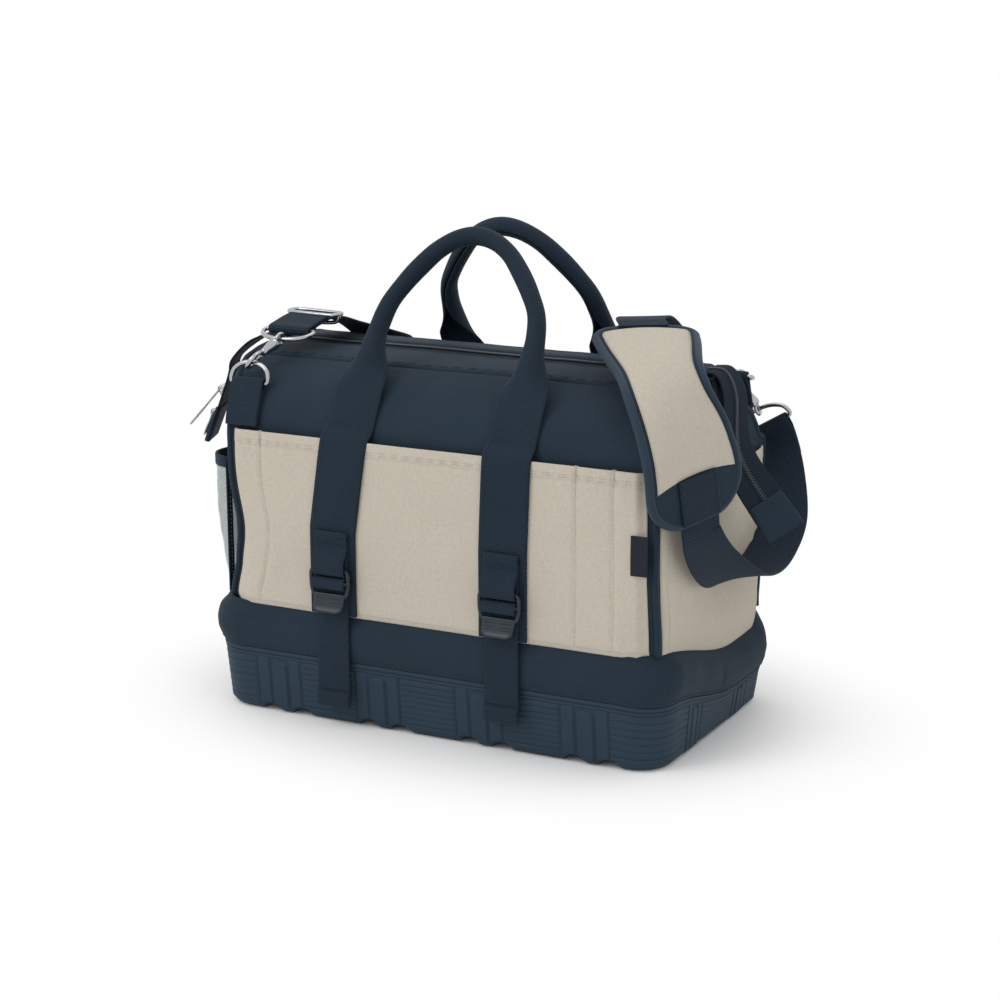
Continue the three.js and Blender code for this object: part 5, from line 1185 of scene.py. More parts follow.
class TOOLBAG_OT_lashings(bpy.types.Operator):
    """Four lashing straps: the sewn loop, the ladder-lock buckle and the free tail of each"""
    bl_idname = "toolbag.lashings"
    bl_label = "Lashing straps"

    def execute(self, context):
        for face in ("front", "back"):
            for side in ("left", "right"):
                self.lashing(face, side)
        return {"FINISHED"}

    def turn(self, skin):
        skin.places = [turned(p) for p in skin.places]

    def lashing(self, face, side):
        x = STRIP_FOOT[side]
        name = side if face == "front" else {"left": "right", "right": "left"}[side]
        parts = (self.loop(x), self.buckle(x), self.tail(x, TAIL_FOOT[side]))
        if face == "back":
            for skin in parts:
                self.turn(skin)
        body = f"{face}_{name}_lashing"
        place(f"{face}_{name}_buckle_loop", parts[0], look("Navy webbing", "Navy thread"))
        place(f"{face}_{name}_ladder_lock", parts[1], look("Black plastic"), body,
              (f"{face}_{name}_buckle",))
        place(f"{face}_{name}_loose_end", parts[2], look("Navy webbing", "Navy thread"), body,
              (f"{face}_{name}_tail",))

    def loop(self, x):
        """Narrow webbing folded round the hanging bar, both ends sewn to the strip under a hem."""
        r = BUCKLE_BAR / math.sqrt(2) + RUN + 1.0
        path = np.concatenate([[[FRONT_FACE - 1.05, SEWN_TOP - 7], [FRONT_FACE - 1.05, BUCKLE_AXIS + 20]],
                               arc((BUCKLE_Y, BUCKLE_AXIS), r, 15, -180),
                               [[BUCKLE_Y - r + 0.2, BUCKLE_AXIS + 8], [FRONT_FACE - 3.3, BUCKLE_AXIS + 21],
                                [FRONT_FACE - 3.2, SEWN_TOP - 6]],
                               arc((FRONT_FACE - 2.2, SEWN_TOP - 1.0), 1.0, 180, 0, 8),
                               [[FRONT_FACE - 1.2, SEWN_TOP - 5]]])
        skin = Skin()
        along_x(spaced(path, 120), WEB_NARROW / 2, 1.0, 0, skin, x)
        corner = np.array([[-14.5, BUCKLE_AXIS + 24], [14.5, BUCKLE_AXIS + 24], [14.5, SEWN_TOP - 3],
                           [-14.5, SEWN_TOP - 3]])
        for a, b in ((0, 1), (1, 2), (2, 3), (3, 0), (0, 2), (1, 3)):
            t = np.linspace(0, 1, 20)[:, None]
            q = corner[a] * (1 - t) + corner[b] * t
            path = np.stack([x + q[:, 0], np.full(20, FRONT_FACE - 4.35), q[:, 1]], 1)
            skin.stitches(path, FORWARD, finish=1, radius=0.4)
        return skin

    def buckle(self, x):
        """Frame of rounded bars, and a tongue that curls outwards below them."""
        skin = Skin()
        half, bar = BUCKLE_WIDTH / 2, BUCKLE_BAR / 2
        origin = np.array([x, BUCKLE_Y, 0.0])
        foot = BUCKLE_AXIS - 2 * (BUCKLE_BAR + BUCKLE_SLOT)
        outline = np.array([[-half + 5, BUCKLE_AXIS], [half - 5, BUCKLE_AXIS],
                            [half - bar - 0.6, BUCKLE_AXIS - 2.2],
                            [half - bar, BUCKLE_AXIS - 7], [half - bar - 1, foot + 4], [half - bar - 3, foot],
                            [-half + bar + 3, foot], [-half + bar + 1, foot + 4], [-half + bar, BUCKLE_AXIS - 7],
                            [-half + bar + 0.6, BUCKLE_AXIS - 2.2]])
        frame_line = spaced(np.concatenate([outline, 0 * outline[:, :1]], 1), 140, True)
        path = origin + np.stack([frame_line[:, 0], 0 * frame_line[:, 0], frame_line[:, 1]], 1)
        oval = circle(16) * (bar + 0.15, bar - 0.05)
        skin.sweep(path, np.array([0.0, 1, 0]), oval, closed=True)
        middle = BUCKLE_AXIS - BUCKLE_BAR - BUCKLE_SLOT
        skin.wire(origin + np.array([[-half + 1.4, 0, middle], [half - 1.4, 0, middle]]), 1.85,
                  UPWARD, sides=16)
        t = np.linspace(0, 1, 16)
        z = foot + 1.0 - (TONGUE + 1) * t
        y = -0.3 - TONGUE * 0.40 * t ** 1.35
        wide = (half - 5.0) * (1 - 0.10 * t) - 5.0 * smooth(0.78, 1, t) ** 2
        thick = 1.9 - 0.8 * t + 0.35 * smooth(0.8, 0.94, t) * (1 - smooth(0.94, 1, t))
        path = origin + np.stack([0 * t, y, z], 1)
        skin.sweep(path, ALONG, flat_section(wide, thick, 10, 4))
        for k in (0.3, 0.48, 0.66):
            i = int(k * 15)
            skin.wire(path[i] + np.array([[-half + 9, -thick[i] * 0.92, 0], [half - 9, -thick[i] * 0.92, 0]]), 0.5,
                      UPWARD, sides=8)
        return skin

    def tail(self, x, foot):
        """Free end over the middle bar: it hangs behind the tongue and ends in a folded hem."""
        bar = BUCKLE_AXIS - BUCKLE_BAR - BUCKLE_SLOT
        r = BUCKLE_BAR / math.sqrt(2) + RUN + 1.0
        hang = np.array([[BUCKLE_Y + r, foot + 0.2], [BUCKLE_Y + r, foot + 30],
                         [BUCKLE_Y + r - 0.4, (foot + bar) / 2],
                         [BUCKLE_Y + r, bar - 12]])
        path = np.concatenate([hang, arc((BUCKLE_Y, bar), r, 0, 180), [[BUCKLE_Y - r, bar - 5.5]]])
        skin = Skin()
        along_x(spaced(path, 120), WEB_NARROW / 2, 1.0, 0, skin, x)
        hem = np.array([[BUCKLE_Y + r - 2.05, foot + 15], [BUCKLE_Y + r - 2.1, foot + 1.4],
                        [BUCKLE_Y + r - 1.2, foot - 0.4],
                        [BUCKLE_Y + r, foot + 0.8]])
        along_x(spaced(hem, 24), WEB_NARROW / 2, 1.0, 0, skin, x)
        for z in (foot + 8, foot + 12):
            path = np.stack([x + np.linspace(-16, 16, 12), np.full(12, BUCKLE_Y + r - 3.15), np.full(12, z)], 1)
            skin.stitches(path, FORWARD, finish=1, radius=0.4)
        return skin


# Rings and hooks

def frame_of(grip, along, nose):
    """Axes and origin of a hook: z from its bow to its eye, x towards its nose."""
    z = unit(along)
    x = np.asarray(nose, float)
    x = unit(x - z * np.dot(x, z))
    return np.stack([x, np.cross(z, x), z]), np.asarray(grip) + z * (HOOK_ARC - 2 * RING_WIRE - RING_PLAY)


def chain(bar, ring_pull, hook_pull, nose, strap_pull, strap_across):
    """The bag ring, hook, eye and strap ring of one side, each from where it pulls."""
    bar, pull = np.asarray(bar, float), unit(ring_pull)
    grip = bar + pull * 20
    axes, origin = frame_of(grip, hook_pull, nose)
    eye = origin + axes[2] * 38.3
    strap = unit(strap_pull)
    across = np.asarray(strap_across, float)
    across = unit(across - strap * np.dot(across, strap))
    return {"ring": (bar, ALONG, pull), "hook": (axes, origin),
            "eye": frame_of(grip, hook_pull, np.cross(across, hook_pull)),
            "strap_ring": (eye + strap * 20, across, -strap)}


def bar_place():
    y, z = body_face(float(TAB_TOP), RING_WIRE + RUN + STRAP_THICK + 2 * GAP)
    return float(y), float(z)


BAR_Y, BAR_Z = bar_place()
CHAINS = {
    "left": chain([TAB_X, BAR_Y, BAR_Z], [0, 0.25, 0.95], [0.25, 0.87, 0.42], [-0.6, 0.34, -0.7], [0, 0.95, 0.3],
                  [1, 0, 0]),
    "right": chain([-TAB_X, -BAR_Y, BAR_Z], [0, 0.95, -0.3], [0.35, 0.45, -0.82], [0.5, 0.8, 0.35],
                   [0.5, 0.2, -0.84], [0.83, 0, 0.49]),
}


def d_ring(placing, width, depth):
    """D ring: a straight bar with a bow 0.25 + 0.75 sin a deep."""
    bar, across, pull = placing
    corner = np.array([[0.43, 0], [0.485, 0.06], [0.5, 0.2]])
    a = math.pi * np.arange(1, 7) / 7
    bow = np.stack([0.5 * np.cos(a), 0.25 + 0.75 * np.sin(a)], 1)
    straight = np.stack([np.linspace(-0.36, 0.36, 7), np.zeros(7)], 1)
    outline = np.concatenate([corner, bow, (corner * (-1, 1))[::-1], straight])
    line = spaced(np.concatenate([outline * (width, depth), np.zeros((len(outline), 1))], 1), 128, True)
    centre = bar + line[:, :1] * across + line[:, 1:2] * pull
    skin = Skin()
    skin.wire(centre, RING_WIRE, np.cross(across, pull), closed=True, sides=18)
    return skin


class TOOLBAG_OT_rings(bpy.types.Operator):
    """D rings with their sewn tabs, swivel hooks with gates and eyes, and the slide adjuster"""
    bl_idname = "toolbag.rings"
    bl_label = "Rings and hooks"

    def execute(self, context):
        chrome = look("Polished chrome")
        for side, parts in CHAINS.items():
            place(f"{side}_d_ring", d_ring(parts["ring"], 42, 20), chrome, f"{side}_ring_body",
                  (f"{side}_bag_ring",))
            place(f"{side}_strap_d_ring", d_ring(parts["strap_ring"], 56, 20), chrome, "root",
                  (f"{side}_strap_ring",))
            place(f"{side}_swivel_hook", self.hook(*parts["hook"]), chrome, f"{side}_hook_body",
                  (f"{side}_hook",))
            place(f"{side}_sprung_gate", self.gate(*parts["hook"]), chrome, f"{side}_gate_body",
                  (f"{side}_hook_gate",))
            place(f"{side}_turning_eye", self.eye(*parts["eye"]), chrome, "root",
                  (f"{side}_swivel_eye",))
            place(f"{side}_tab_webbing", self.tab(side == "right"), look("Navy webbing", "Navy thread"),
                  "root", (f"{side}_ring_tab",))
        place("slide_adjuster", self.adjuster(), chrome, "root", ("strap_adjuster",))
        return {"FINISHED"}

    def hook(self, axes, origin):
        a = math.pi * np.arange(7) / 6
        points = np.concatenate([[[HOOK_ARC, NOSE_TOP]],
                                 np.stack([HOOK_ARC * np.cos(a), -HOOK_ARC * np.sin(a)], 1),
                                 [[-HOOK_ARC * 0.85, 5], [-HOOK_ARC * 0.3, 10.5], [0, BARREL_START + 3]]])
        line = spaced(np.concatenate([points, np.zeros((len(points), 1))], 1), 90)
        path = origin + line[:, :1] * axes[0] + line[:, 1:2] * axes[2]
        s = lengths(path)
        nose = np.sqrt(np.clip(1 - (1 - s / 2.2) ** 2, 0.02, 1)) * (s < 2.2) + (s >= 2.2)
        belly = 1 + 0.14 * bump(s, s[-1] * 0.42, 9)
        skin = Skin()
        skin.wire(path, 2.2 * nose * belly, axes[1], sides=18)
        top = BARREL_START + BARREL_LENGTH
        skin.lathe([[0, BARREL_START], [2.6, BARREL_START], [3.3, BARREL_START + 0.6], [3.9, BARREL_START + 5],
                    [5.6, top - 5], [6.0, top - 3.6], [6.0, top - 0.7], [5.6, top - 0.1], [5.0, top], [2.3, top],
                    [2.3, top - 8], [0, top - 8]], origin, axes, 36)
        return skin

    def gate(self, axes, origin):
        low = np.array([2.4, 0, BARREL_START - GATE_WIRE - 0.2])
        run = (np.array([HOOK_ARC, 0, NOSE_TOP + GAP]) - low) * 0.82
        way = unit(run)
        r, n = GATE_WIRE, np.linalg.norm(run)
        z = way[0] * axes[0] + way[2] * axes[2]
        y = axes[1]
        skin = Skin()
        skin.lathe([[0, -0.2], [r * 0.7, 0], [r, 0.6], [r, n - 0.7], [r * 0.7, n], [0, n + 0.1]],
                   origin + low @ axes, (np.cross(y, z), y, z), 20)
        pin = origin + low @ axes
        skin.wire(np.array([pin - y * 2.5, pin + y * 2.5]), 0.7, z, sides=12)
        return skin

    def eye(self, axes, origin):
        a = np.linspace(0, 2 * math.pi, 64, endpoint=False)[:, None]
        path = origin + axes[2] * 38.3 + EYE_RADIUS * (np.cos(a) * axes[0] + np.sin(a) * axes[2])
        skin = Skin()
        skin.wire(path, EYE_WIRE, axes[1], closed=True, sides=18)
        skin.lathe([[0, 23.3], [2.0, 23.3], [2.0, 31.2], [2.6, 32.4], [2.0, 33.6], [0, 33.8]], origin, axes, 24)
        return skin

    def tab(self, turn):
        """Webbing sewn to the panel and folded over the bar of the ring."""
        ring = RING_WIRE + RUN + STRAP_THICK / 2
        z = np.linspace(TAB_FOOT + 1, TAB_TOP - 2, 10)
        back = np.stack(body_face(z, 2 * GAP + STRAP_THICK / 2), 1)
        zf = np.linspace(TAB_TOP - 15, TAB_FOOT, 8)
        front = np.stack(body_face(zf, 2 * GAP + STRAP_THICK * 1.52), 1)
        tilt = math.degrees(math.atan2(float(body_half(TAB_TOP - 0.5) - body_half(TAB_TOP + 0.5)), 1))
        loop = arc((BAR_Y, BAR_Z), ring, -tilt, 200 - tilt, 18)
        path = np.concatenate([back, loop, front])
        skin = Skin()
        along_x(spaced(path, 130), TAB_WIDTH / 2, STRAP_THICK / 2, 0, skin, TAB_X)
        for height in (TAB_FOOT + 4, TAB_FOOT + 8, TAB_FOOT + 19):
            y, z = body_face(float(height), 2 * GAP + STRAP_THICK * 2.05)
            row = np.stack([TAB_X + np.linspace(-15, 15, 12), np.full(12, y), np.full(12, z)], 1)
            skin.stitches(row, np.array([0.0, -1, 0.1]), finish=1, radius=0.42)
        if turn:
            skin.places = [turned(p) for p in skin.places]
        return skin

    def adjuster(self):
        """Slide adjuster: a round wire frame under the strap, and a bar that crosses over it."""
        centre = np.array(LONG_STRAP[0][:3], float)
        along, across = unit([0.1, 0.99, 0]), unit([1, -0.1, 0])
        up = np.cross(along, across)
        half, reach = 29, 8
        corners = np.array([[-reach, -half + 4], [-reach + 1.2, -half + 1.2], [-reach + 4, -half],
                            [reach - 4, -half], [reach - 1.2, -half + 1.2], [reach, -half + 4],
                            [reach, half - 4], [reach - 1.2, half - 1.2], [reach - 4, half],
                            [-reach + 4, half], [-reach + 1.2, half - 1.2], [-reach, half - 4]])
        line = spaced(np.concatenate([corners, np.zeros((12, 1))], 1), 120, True)
        skin = Skin()
        skin.wire(centre + line[:, :1] * along + line[:, 1:2] * across - up * 3.4, 2.0, up, closed=True, sides=16)
        over = spaced([[-half, -4, 0], [-half, 0, 0], [-half + 3, 4, 0], [half - 3, 4, 0], [half, 0, 0],
                       [half, -4, 0]], 60)
        skin.wire(centre + over[:, :1] * across + over[:, 1:2] * up, 2.0, along, sides=16)
        return skin


# Shoulder strap and pad

def ribbon(route, count):
    """Middle, width and face directions of a flat band along a route of places and widths."""
    run = spaced(np.array(route, float), count)
    centre = run[:, :3]
    along = directions(centre)
    wide = unit(run[:, 3:] - along * np.sum(run[:, 3:] * along, 1, keepdims=True))
    return centre, wide, np.cross(along, wide)


def strap_run(ring, stations, count):
    """Middle line of a strap from the bar of its ring through stations, with its width direction and
    the direction out of its face."""
    bar, across, pull = ring
    lead = [[*(bar - pull * reach), *across] for reach in (3.8, 7.4)]
    return ribbon(lead + [list(s) for s in stations], count)


def strap_skin(ring, stations, count, sewn=30):
    """Strap whose end is folded round the bar and sewn back under it."""
    centre, wide, up = strap_run(ring, stations, count)
    bar, across, pull = ring
    s = lengths(centre)
    back = s < sewn
    lower = (centre - up * 2.6)[back][::-1]
    side = np.cross(pull, across)
    side = side * np.sign(np.dot(side, up[0]))
    a = np.radians(np.linspace(-100, 100, 16))[:, None]
    loop = bar + 3.8 * (np.cos(a) * pull + np.sin(a) * side)
    start = s > 9
    path = np.concatenate([lower[:-3], loop, centre[start]])
    turn = np.concatenate([wide[back][::-1][:-3], np.repeat(across[None], 16, 0), wide[start]])
    even = spaced(np.concatenate([path, turn], 1), count + 60, curved=False)
    skin = Skin()
    skin.sweep(even[:, :3], even[:, 3:], flat_section(STRAP_HALF, STRAP_THICK / 2, 12, 4))
    for d in (12, 16, sewn - 3):
        i = int(np.argmin(np.abs(s - d)))
        row = centre[i] + wide[i] * np.linspace(-20, 20, 16)[:, None] + up[i] * 1.25
        skin.stitches(row, np.repeat(up[i][None], 16, 0), finish=1, radius=0.42)
    return skin, (centre, wide, up)


class TOOLBAG_OT_strap(bpy.types.Operator):
    """Shoulder strap: its webbing, and the shaped pad with its bound edge"""
    bl_idname = "toolbag.strap"
    bl_label = "Shoulder strap"

    def execute(self, context):
        web = look("Navy webbing", "Navy thread")
        skin, _ = strap_skin(CHAINS["left"]["strap_ring"], LONG_STRAP, 420)
        place("long_strap", skin, web, "root", ("shoulder_strap",))
        skin, _ = strap_skin(CHAINS["right"]["strap_ring"], RIGHT_STRAP, 260)
        place("short_strap", skin, web, "root", ("right_strap",))
        self.pad()
        return {"FINISHED"}

    def pad(self):
        centre, wide, up = ribbon(PAD_ROUTE, 400)
        s = lengths(centre)
        total = s[-1]

        def at(d, a, h):
            """Place on the pad: d along it, a across it and h off its middle."""
            d, a, h = np.broadcast_arrays(d, a, h)
            c, w, u = (np.stack([np.interp(d, s, m[:, k]) for k in range(3)], -1) for m in (centre, wide, up))
            return c + w * a[..., None] + u * h[..., None]

        def half(u):
            """Half width: a waist in the middle, broader below, with a small and a large corner radius."""
            w = PAD_HALF - WAIST_DEPTH * bump(u, WAIST_AT, WAIST_SPREAD) + PAD_SWELL * smooth(0.35, 0.75, u)
            for near, r in ((u * total, PAD_TOP_CORNER), ((1 - u) * total, PAD_FOOT_CORNER)):
                w = w - r * (1 - np.sqrt(1 - np.clip(1 - near / r, 0, 1) ** 2))
            return w

        def spot(u, share, inset, h, bow=0.0):
            """Place at a share of the length and of the width; the top edge bows out by 8, and the
            lower edge of the cover bows up."""
            middle = 1 - np.asarray(share) ** 2
            d = 8 + (total - 8) * u - 8 * middle * (1 - smooth(0, 0.25, u)) - bow * middle * smooth(0.6, 0.8, u)
            return at(d, share * (half(u) - inset), h)

        def cushion(low, high, inset, bottom, edge, crown, bow):
            """Closed pad: flat below, and above swelling by (1 - |a|^3)^0.75 off its edge."""
            u = (low + (high - low) * (1 - np.cos(np.linspace(0, math.pi, 90))) / 2)[:, None]
            a = np.concatenate([np.linspace(-1, 1, 26), np.linspace(1, -1, 26)[1:-1]])[None]
            upper = np.concatenate([np.ones(26), np.zeros(24)])[None]
            near = np.minimum(u - low, high - u) * total
            h = np.where(upper > 0, edge + crown * (1 - np.abs(a) ** 3) ** 0.75 * smooth(0, 22, near) ** 0.5,
                         bottom)
            skin = Skin()
            skin.grid(spot(u, a, inset, np.where(near < 0.3, (edge + bottom) / 2 + 0.4 * (upper - 0.5), h), bow))
            return skin

        base_piece = place("pad_base", cushion(0, 1, 1.0, -6.0, 1.0, 1.5, 0), look("Navy canvas"), "root",
                           ("shoulder_pad",))
        top_piece = place("pad_cover", cushion(COVER_START, COVER_END, 6.5, -1.0, 2.2, 4.6, 6),
                          look("Beige canvas"))
        u = (1 - np.cos(np.linspace(0, math.pi, 160))) / 2
        share, one = np.linspace(-0.96, 0.96, 24), np.ones(160)
        line = spot(np.concatenate([u[::-1], 0 * share, u, 0 * share + 1]),
                    np.concatenate([-one, share, one, -share]), 1.0, -1.8)
        line = spaced(line, 420, True, False)
        near = np.argmin(np.linalg.norm(line[:, None] - centre[None], axis=2), 1)
        skin = Skin()
        skin.sweep(line, up[near], flat_section(4.4, 3.9, 6, 6), closed=True)
        place("pad_binding", skin, look("Binding tape"))
        skin = Skin()
        for start, stop, lift in ((PATCH_START, 1.0, 3.6), (0.0, 0.04, 3.2)):
            d = np.linspace(start * total, stop * total, 40)
            path = at(d, 0 * d,
                      np.full(40, lift) * (smooth(0.76 * total, 0.83 * total, d) if start else 1.0) + 0.5)
            w = np.stack([np.interp(d, s, wide[:, k]) for k in range(3)], 1)
            skin.sweep(path, w, flat_section(STRAP_HALF, 1.2, 12, 4))
            n = np.stack([np.interp(d, s, up[:, k]) for k in range(3)], 1)
            if start:
                for a in (-20.5, 20.5):
                    skin.stitches(path + w * a + n * 1.3, n, finish=1)
        place("pad_webbing", skin, look("Navy webbing", "Navy thread"))


# Zip

def teeth(skin, path, out, across, pitch, finish, reach=3.2, rise=1.1):
    """Two rows of moulded teeth that mesh: each is a small block whose top is narrower than its
    foot, set alternately to the left and right of the path."""
    s = lengths(path)
    count = int(s[-1] / pitch)
    at = (np.arange(2 * count) + 0.5) * s[-1] / (2 * count)
    centre, way, up, wide = (np.stack([np.interp(at, s, np.broadcast_to(a, path.shape)[:, k])
                                       for k in range(3)], 1)
                             for a in (path, np.gradient(path, axis=0), out, across))
    way = unit(way)
    wide = (unit(wide - way * np.sum(wide * way, 1, keepdims=True))
            * np.where(np.arange(2 * count) % 2, 1, -1)[:, None])
    corner = ((-1, -1), (1, -1), (1, 1), (-1, 1))
    rings = ((1.0, 0.0), (1.0, rise * 0.75), (0.6, rise))
    p = np.stack([np.stack([centre + way * x * pitch * 0.22 * size
                            + wide * (reach * 0.36 + y * reach * 0.64 * (0.5 + size / 2))
                            + up * h for x, y in corner], 1) for size, h in rings], 1)
    quads = np.arange(2 * count)[:, None, None] * 12 + block_faces(3)[None]
    quads = np.where(np.arange(2 * count)[:, None, None] % 2, quads, quads[..., ::-1])
    quads = quads.reshape(-1, 4)
    skin.add(p.reshape(-1, 3), quads, np.zeros((len(quads), 4, 2)), (), finish)


class TOOLBAG_OT_zip(bpy.types.Operator):
    """Zip: both tapes with their meshed teeth, the loose tails with their end tabs, sliders and pulls"""
    bl_idname = "toolbag.zip"
    bl_label = "Zip"

    def execute(self, context):
        pitch = context.scene.toolbag_sizes.tooth_pitch
        half = BODY_LENGTH / 2 - 2 * PIPING - 2.3
        x = np.linspace(-half, half, 240)
        level = float(body_top(ZIP_TAPE)) - 0.25
        for face, sign in (("front", -1), ("back", 1)):
            y = np.linspace(ZIP_TAPE + 3, 0.9, 8)[:, None] * sign
            z = level - 0.4 * smooth(2.5, 0, np.abs(y)) - 0.15 * smooth(10, 16, np.abs(y)) + 0 * x[None]
            p = settle(np.stack(np.broadcast_arrays(x[None], y, z), -1))
            skin = Skin()
            skin.slab(p, UPWARD, 1.2)
            if sign < 0:
                line = settle(np.stack([x, 0 * x, np.full(240, level + 0.9)], 1))
                teeth(skin, line, UPWARD, np.array([0.0, 1, 0]), pitch, 1)
            place(f"{face}_zip_tape", skin, look("Zip tape", "Zip teeth"), "root", (f"{face}_zip_half",))
        self.tail("left", LEFT_TAIL, pitch)
        self.tail("right", RIGHT_TAIL, pitch)
        for name, down, pull, swing in (("upper", -8, 50, 22), ("lower", 18, 26, 4)):
            self.slider(name, down, pull, math.radians(swing))
        return {"FINISHED"}

    def tail(self, side, route, pitch):
        """Tape over the end of the bag, with teeth down its middle and a folded tab sewn over its end."""
        centre, wide, up = ribbon(route, 260)
        outward = (1, 0, 0.3) if side == "right" else (-1, 0, 0.3)
        up = up * np.where(np.sum(up * outward, 1, keepdims=True) < 0, -1, 1)
        s = lengths(centre)
        curl = 0.9 * np.sin(s / 21)[:, None] * up
        skin = Skin()
        skin.sweep(centre + curl, wide, flat_section(22.5, 1.0, 14, 4))
        line = centre + curl + up * 0.95
        stop = s < s[-1] - 34
        teeth(skin, line[stop], up[stop], wide[stop], pitch, 1)
        for a in (-9, 9):
            skin.stitches((line + wide * a)[stop], up[stop], finish=2, radius=0.36)
        place(f"{side}_tail_tape", skin, look("Zip tape", "Zip teeth", "Navy thread"), "root",
              (f"{side}_zip_tail",))
        tab = Skin()
        end = s > s[-1] - 37
        path = centre[end] + curl[end]
        t = (s[end] - s[end][0]) / (s[-1] - s[end][0])
        tab.sweep(path, wide[end], flat_section(21.5 + 1.6 * t, 2.6 + 0.5 * np.sin(math.pi * t), 14, 5))
        n = up[end]
        for k in (0.12, 0.22):
            i = int(k * len(path))
            row = path[i] + wide[end][i] * np.linspace(-19, 19, 20)[:, None] + n[i] * 2.85
            tab.stitches(row, np.repeat(n[i][None], 20, 0), finish=1, radius=0.42)
        place(f"{side}_tail_tab", tab, look("Navy canvas", "Navy thread"))

    def tail_frame(self, distance):
        """Axes and origin on the outer face of the left tail: x down it, z away from it."""
        high, low = (np.array(s[:3], float) for s in LEFT_TAIL[-2:])
        down = unit(low - high)
        wide = -np.array(LEFT_TAIL[-1][3:], float)
        wide = unit(wide - down * np.dot(wide, down))
        out = np.cross(down, wide)
        return np.stack([down, wide, out]), high + down * distance + out * 1.8

    def slider(self, name, down, length, swing):
        axes, origin = self.tail_frame(down)
        skin = Skin()
        plan = spaced([[-6.5, -3.3, 0], [-2, -5.2, 0], [2.5, -5.0, 0], [6.5, -3.9, 0], [7.0, 0, 0], [6.5, 3.9, 0],
                       [2.5, 5.0, 0], [-2, 5.2, 0], [-6.5, 3.3, 0], [-6.9, 0, 0]], 60, True)[:, :2]
        skin.block(plan, 0, 2.4, origin, axes, 0.7)
        rib = np.array([[-5.5, 0, 2.3], [-3.4, 0, 4.6], [-2.2, 0, 6.2], [0, 0, 6.9], [2.2, 0, 6.2],
                        [3.4, 0, 4.6], [5.2, 0, 2.3]])
        line = spaced(rib, 40)
        skin.sweep(origin + line @ axes, axes[1], flat_section(1.5, 0.75, 4, 4))
        place(f"{name}_slider_body_shell", skin, look("Polished chrome"), f"{name}_slider_body",
              (f"{name}_zip_slider",))
        turn = np.array([[math.cos(swing), 0, math.sin(swing)], [0, 1, 0], [-math.sin(swing), 0, math.cos(swing)]])
        self.pull(name, length, turn @ axes, origin + axes[2] * 4.8)

    def pull(self, name, length, axes, origin):
        """Pull: a pin through the bail, two cheeks that join in a rod, and an open loop."""
        skin = Skin()
        skin.wire(origin + np.array([[0, -4.2, 0], [0, 4.2, 0]]) @ axes, 0.9, axes[0], sides=14)
        rod = max(10.0, length * 0.45)
        for sign in (-1, 1):
            cheek = spaced([[-0.6, 3.4 * sign, 0], [3.5, 3.2 * sign, 0], [7, 1.3 * sign, 0],
                            [10, 0.6 * sign, 0]], 30)
            skin.wire(origin + cheek @ axes, 1.0, axes[2], sides=14)
        if rod > 11:
            skin.lathe([[0, 8], [1.2, 8.4], [1.1, 10], [1.05, rod], [1.2, rod + 1], [0, rod + 1.4]], origin,
                       (axes[1], axes[2], axes[0]), 20)
        a = np.linspace(0, math.pi, 9)
        low, high, w = rod + 0.8, length - 3.2, 3.6
        loop = np.concatenate([np.stack([high + w * 0.9 * np.sin(a), w * np.cos(a)], 1),
                               np.stack([low + 1.5 - w * 0.55 * np.sin(a), -w * 0.8 * np.cos(a)], 1)])
        line = spaced(np.concatenate([loop, np.zeros((len(loop), 1))], 1), 80, True)
        skin.wire(origin + line @ axes, 1.05, axes[2], closed=True, sides=14)
        place(f"{name}_loop_pull", skin, look("Polished chrome"), f"{name}_pull_body",
              (f"{name}_zip_pull",))


# Stage

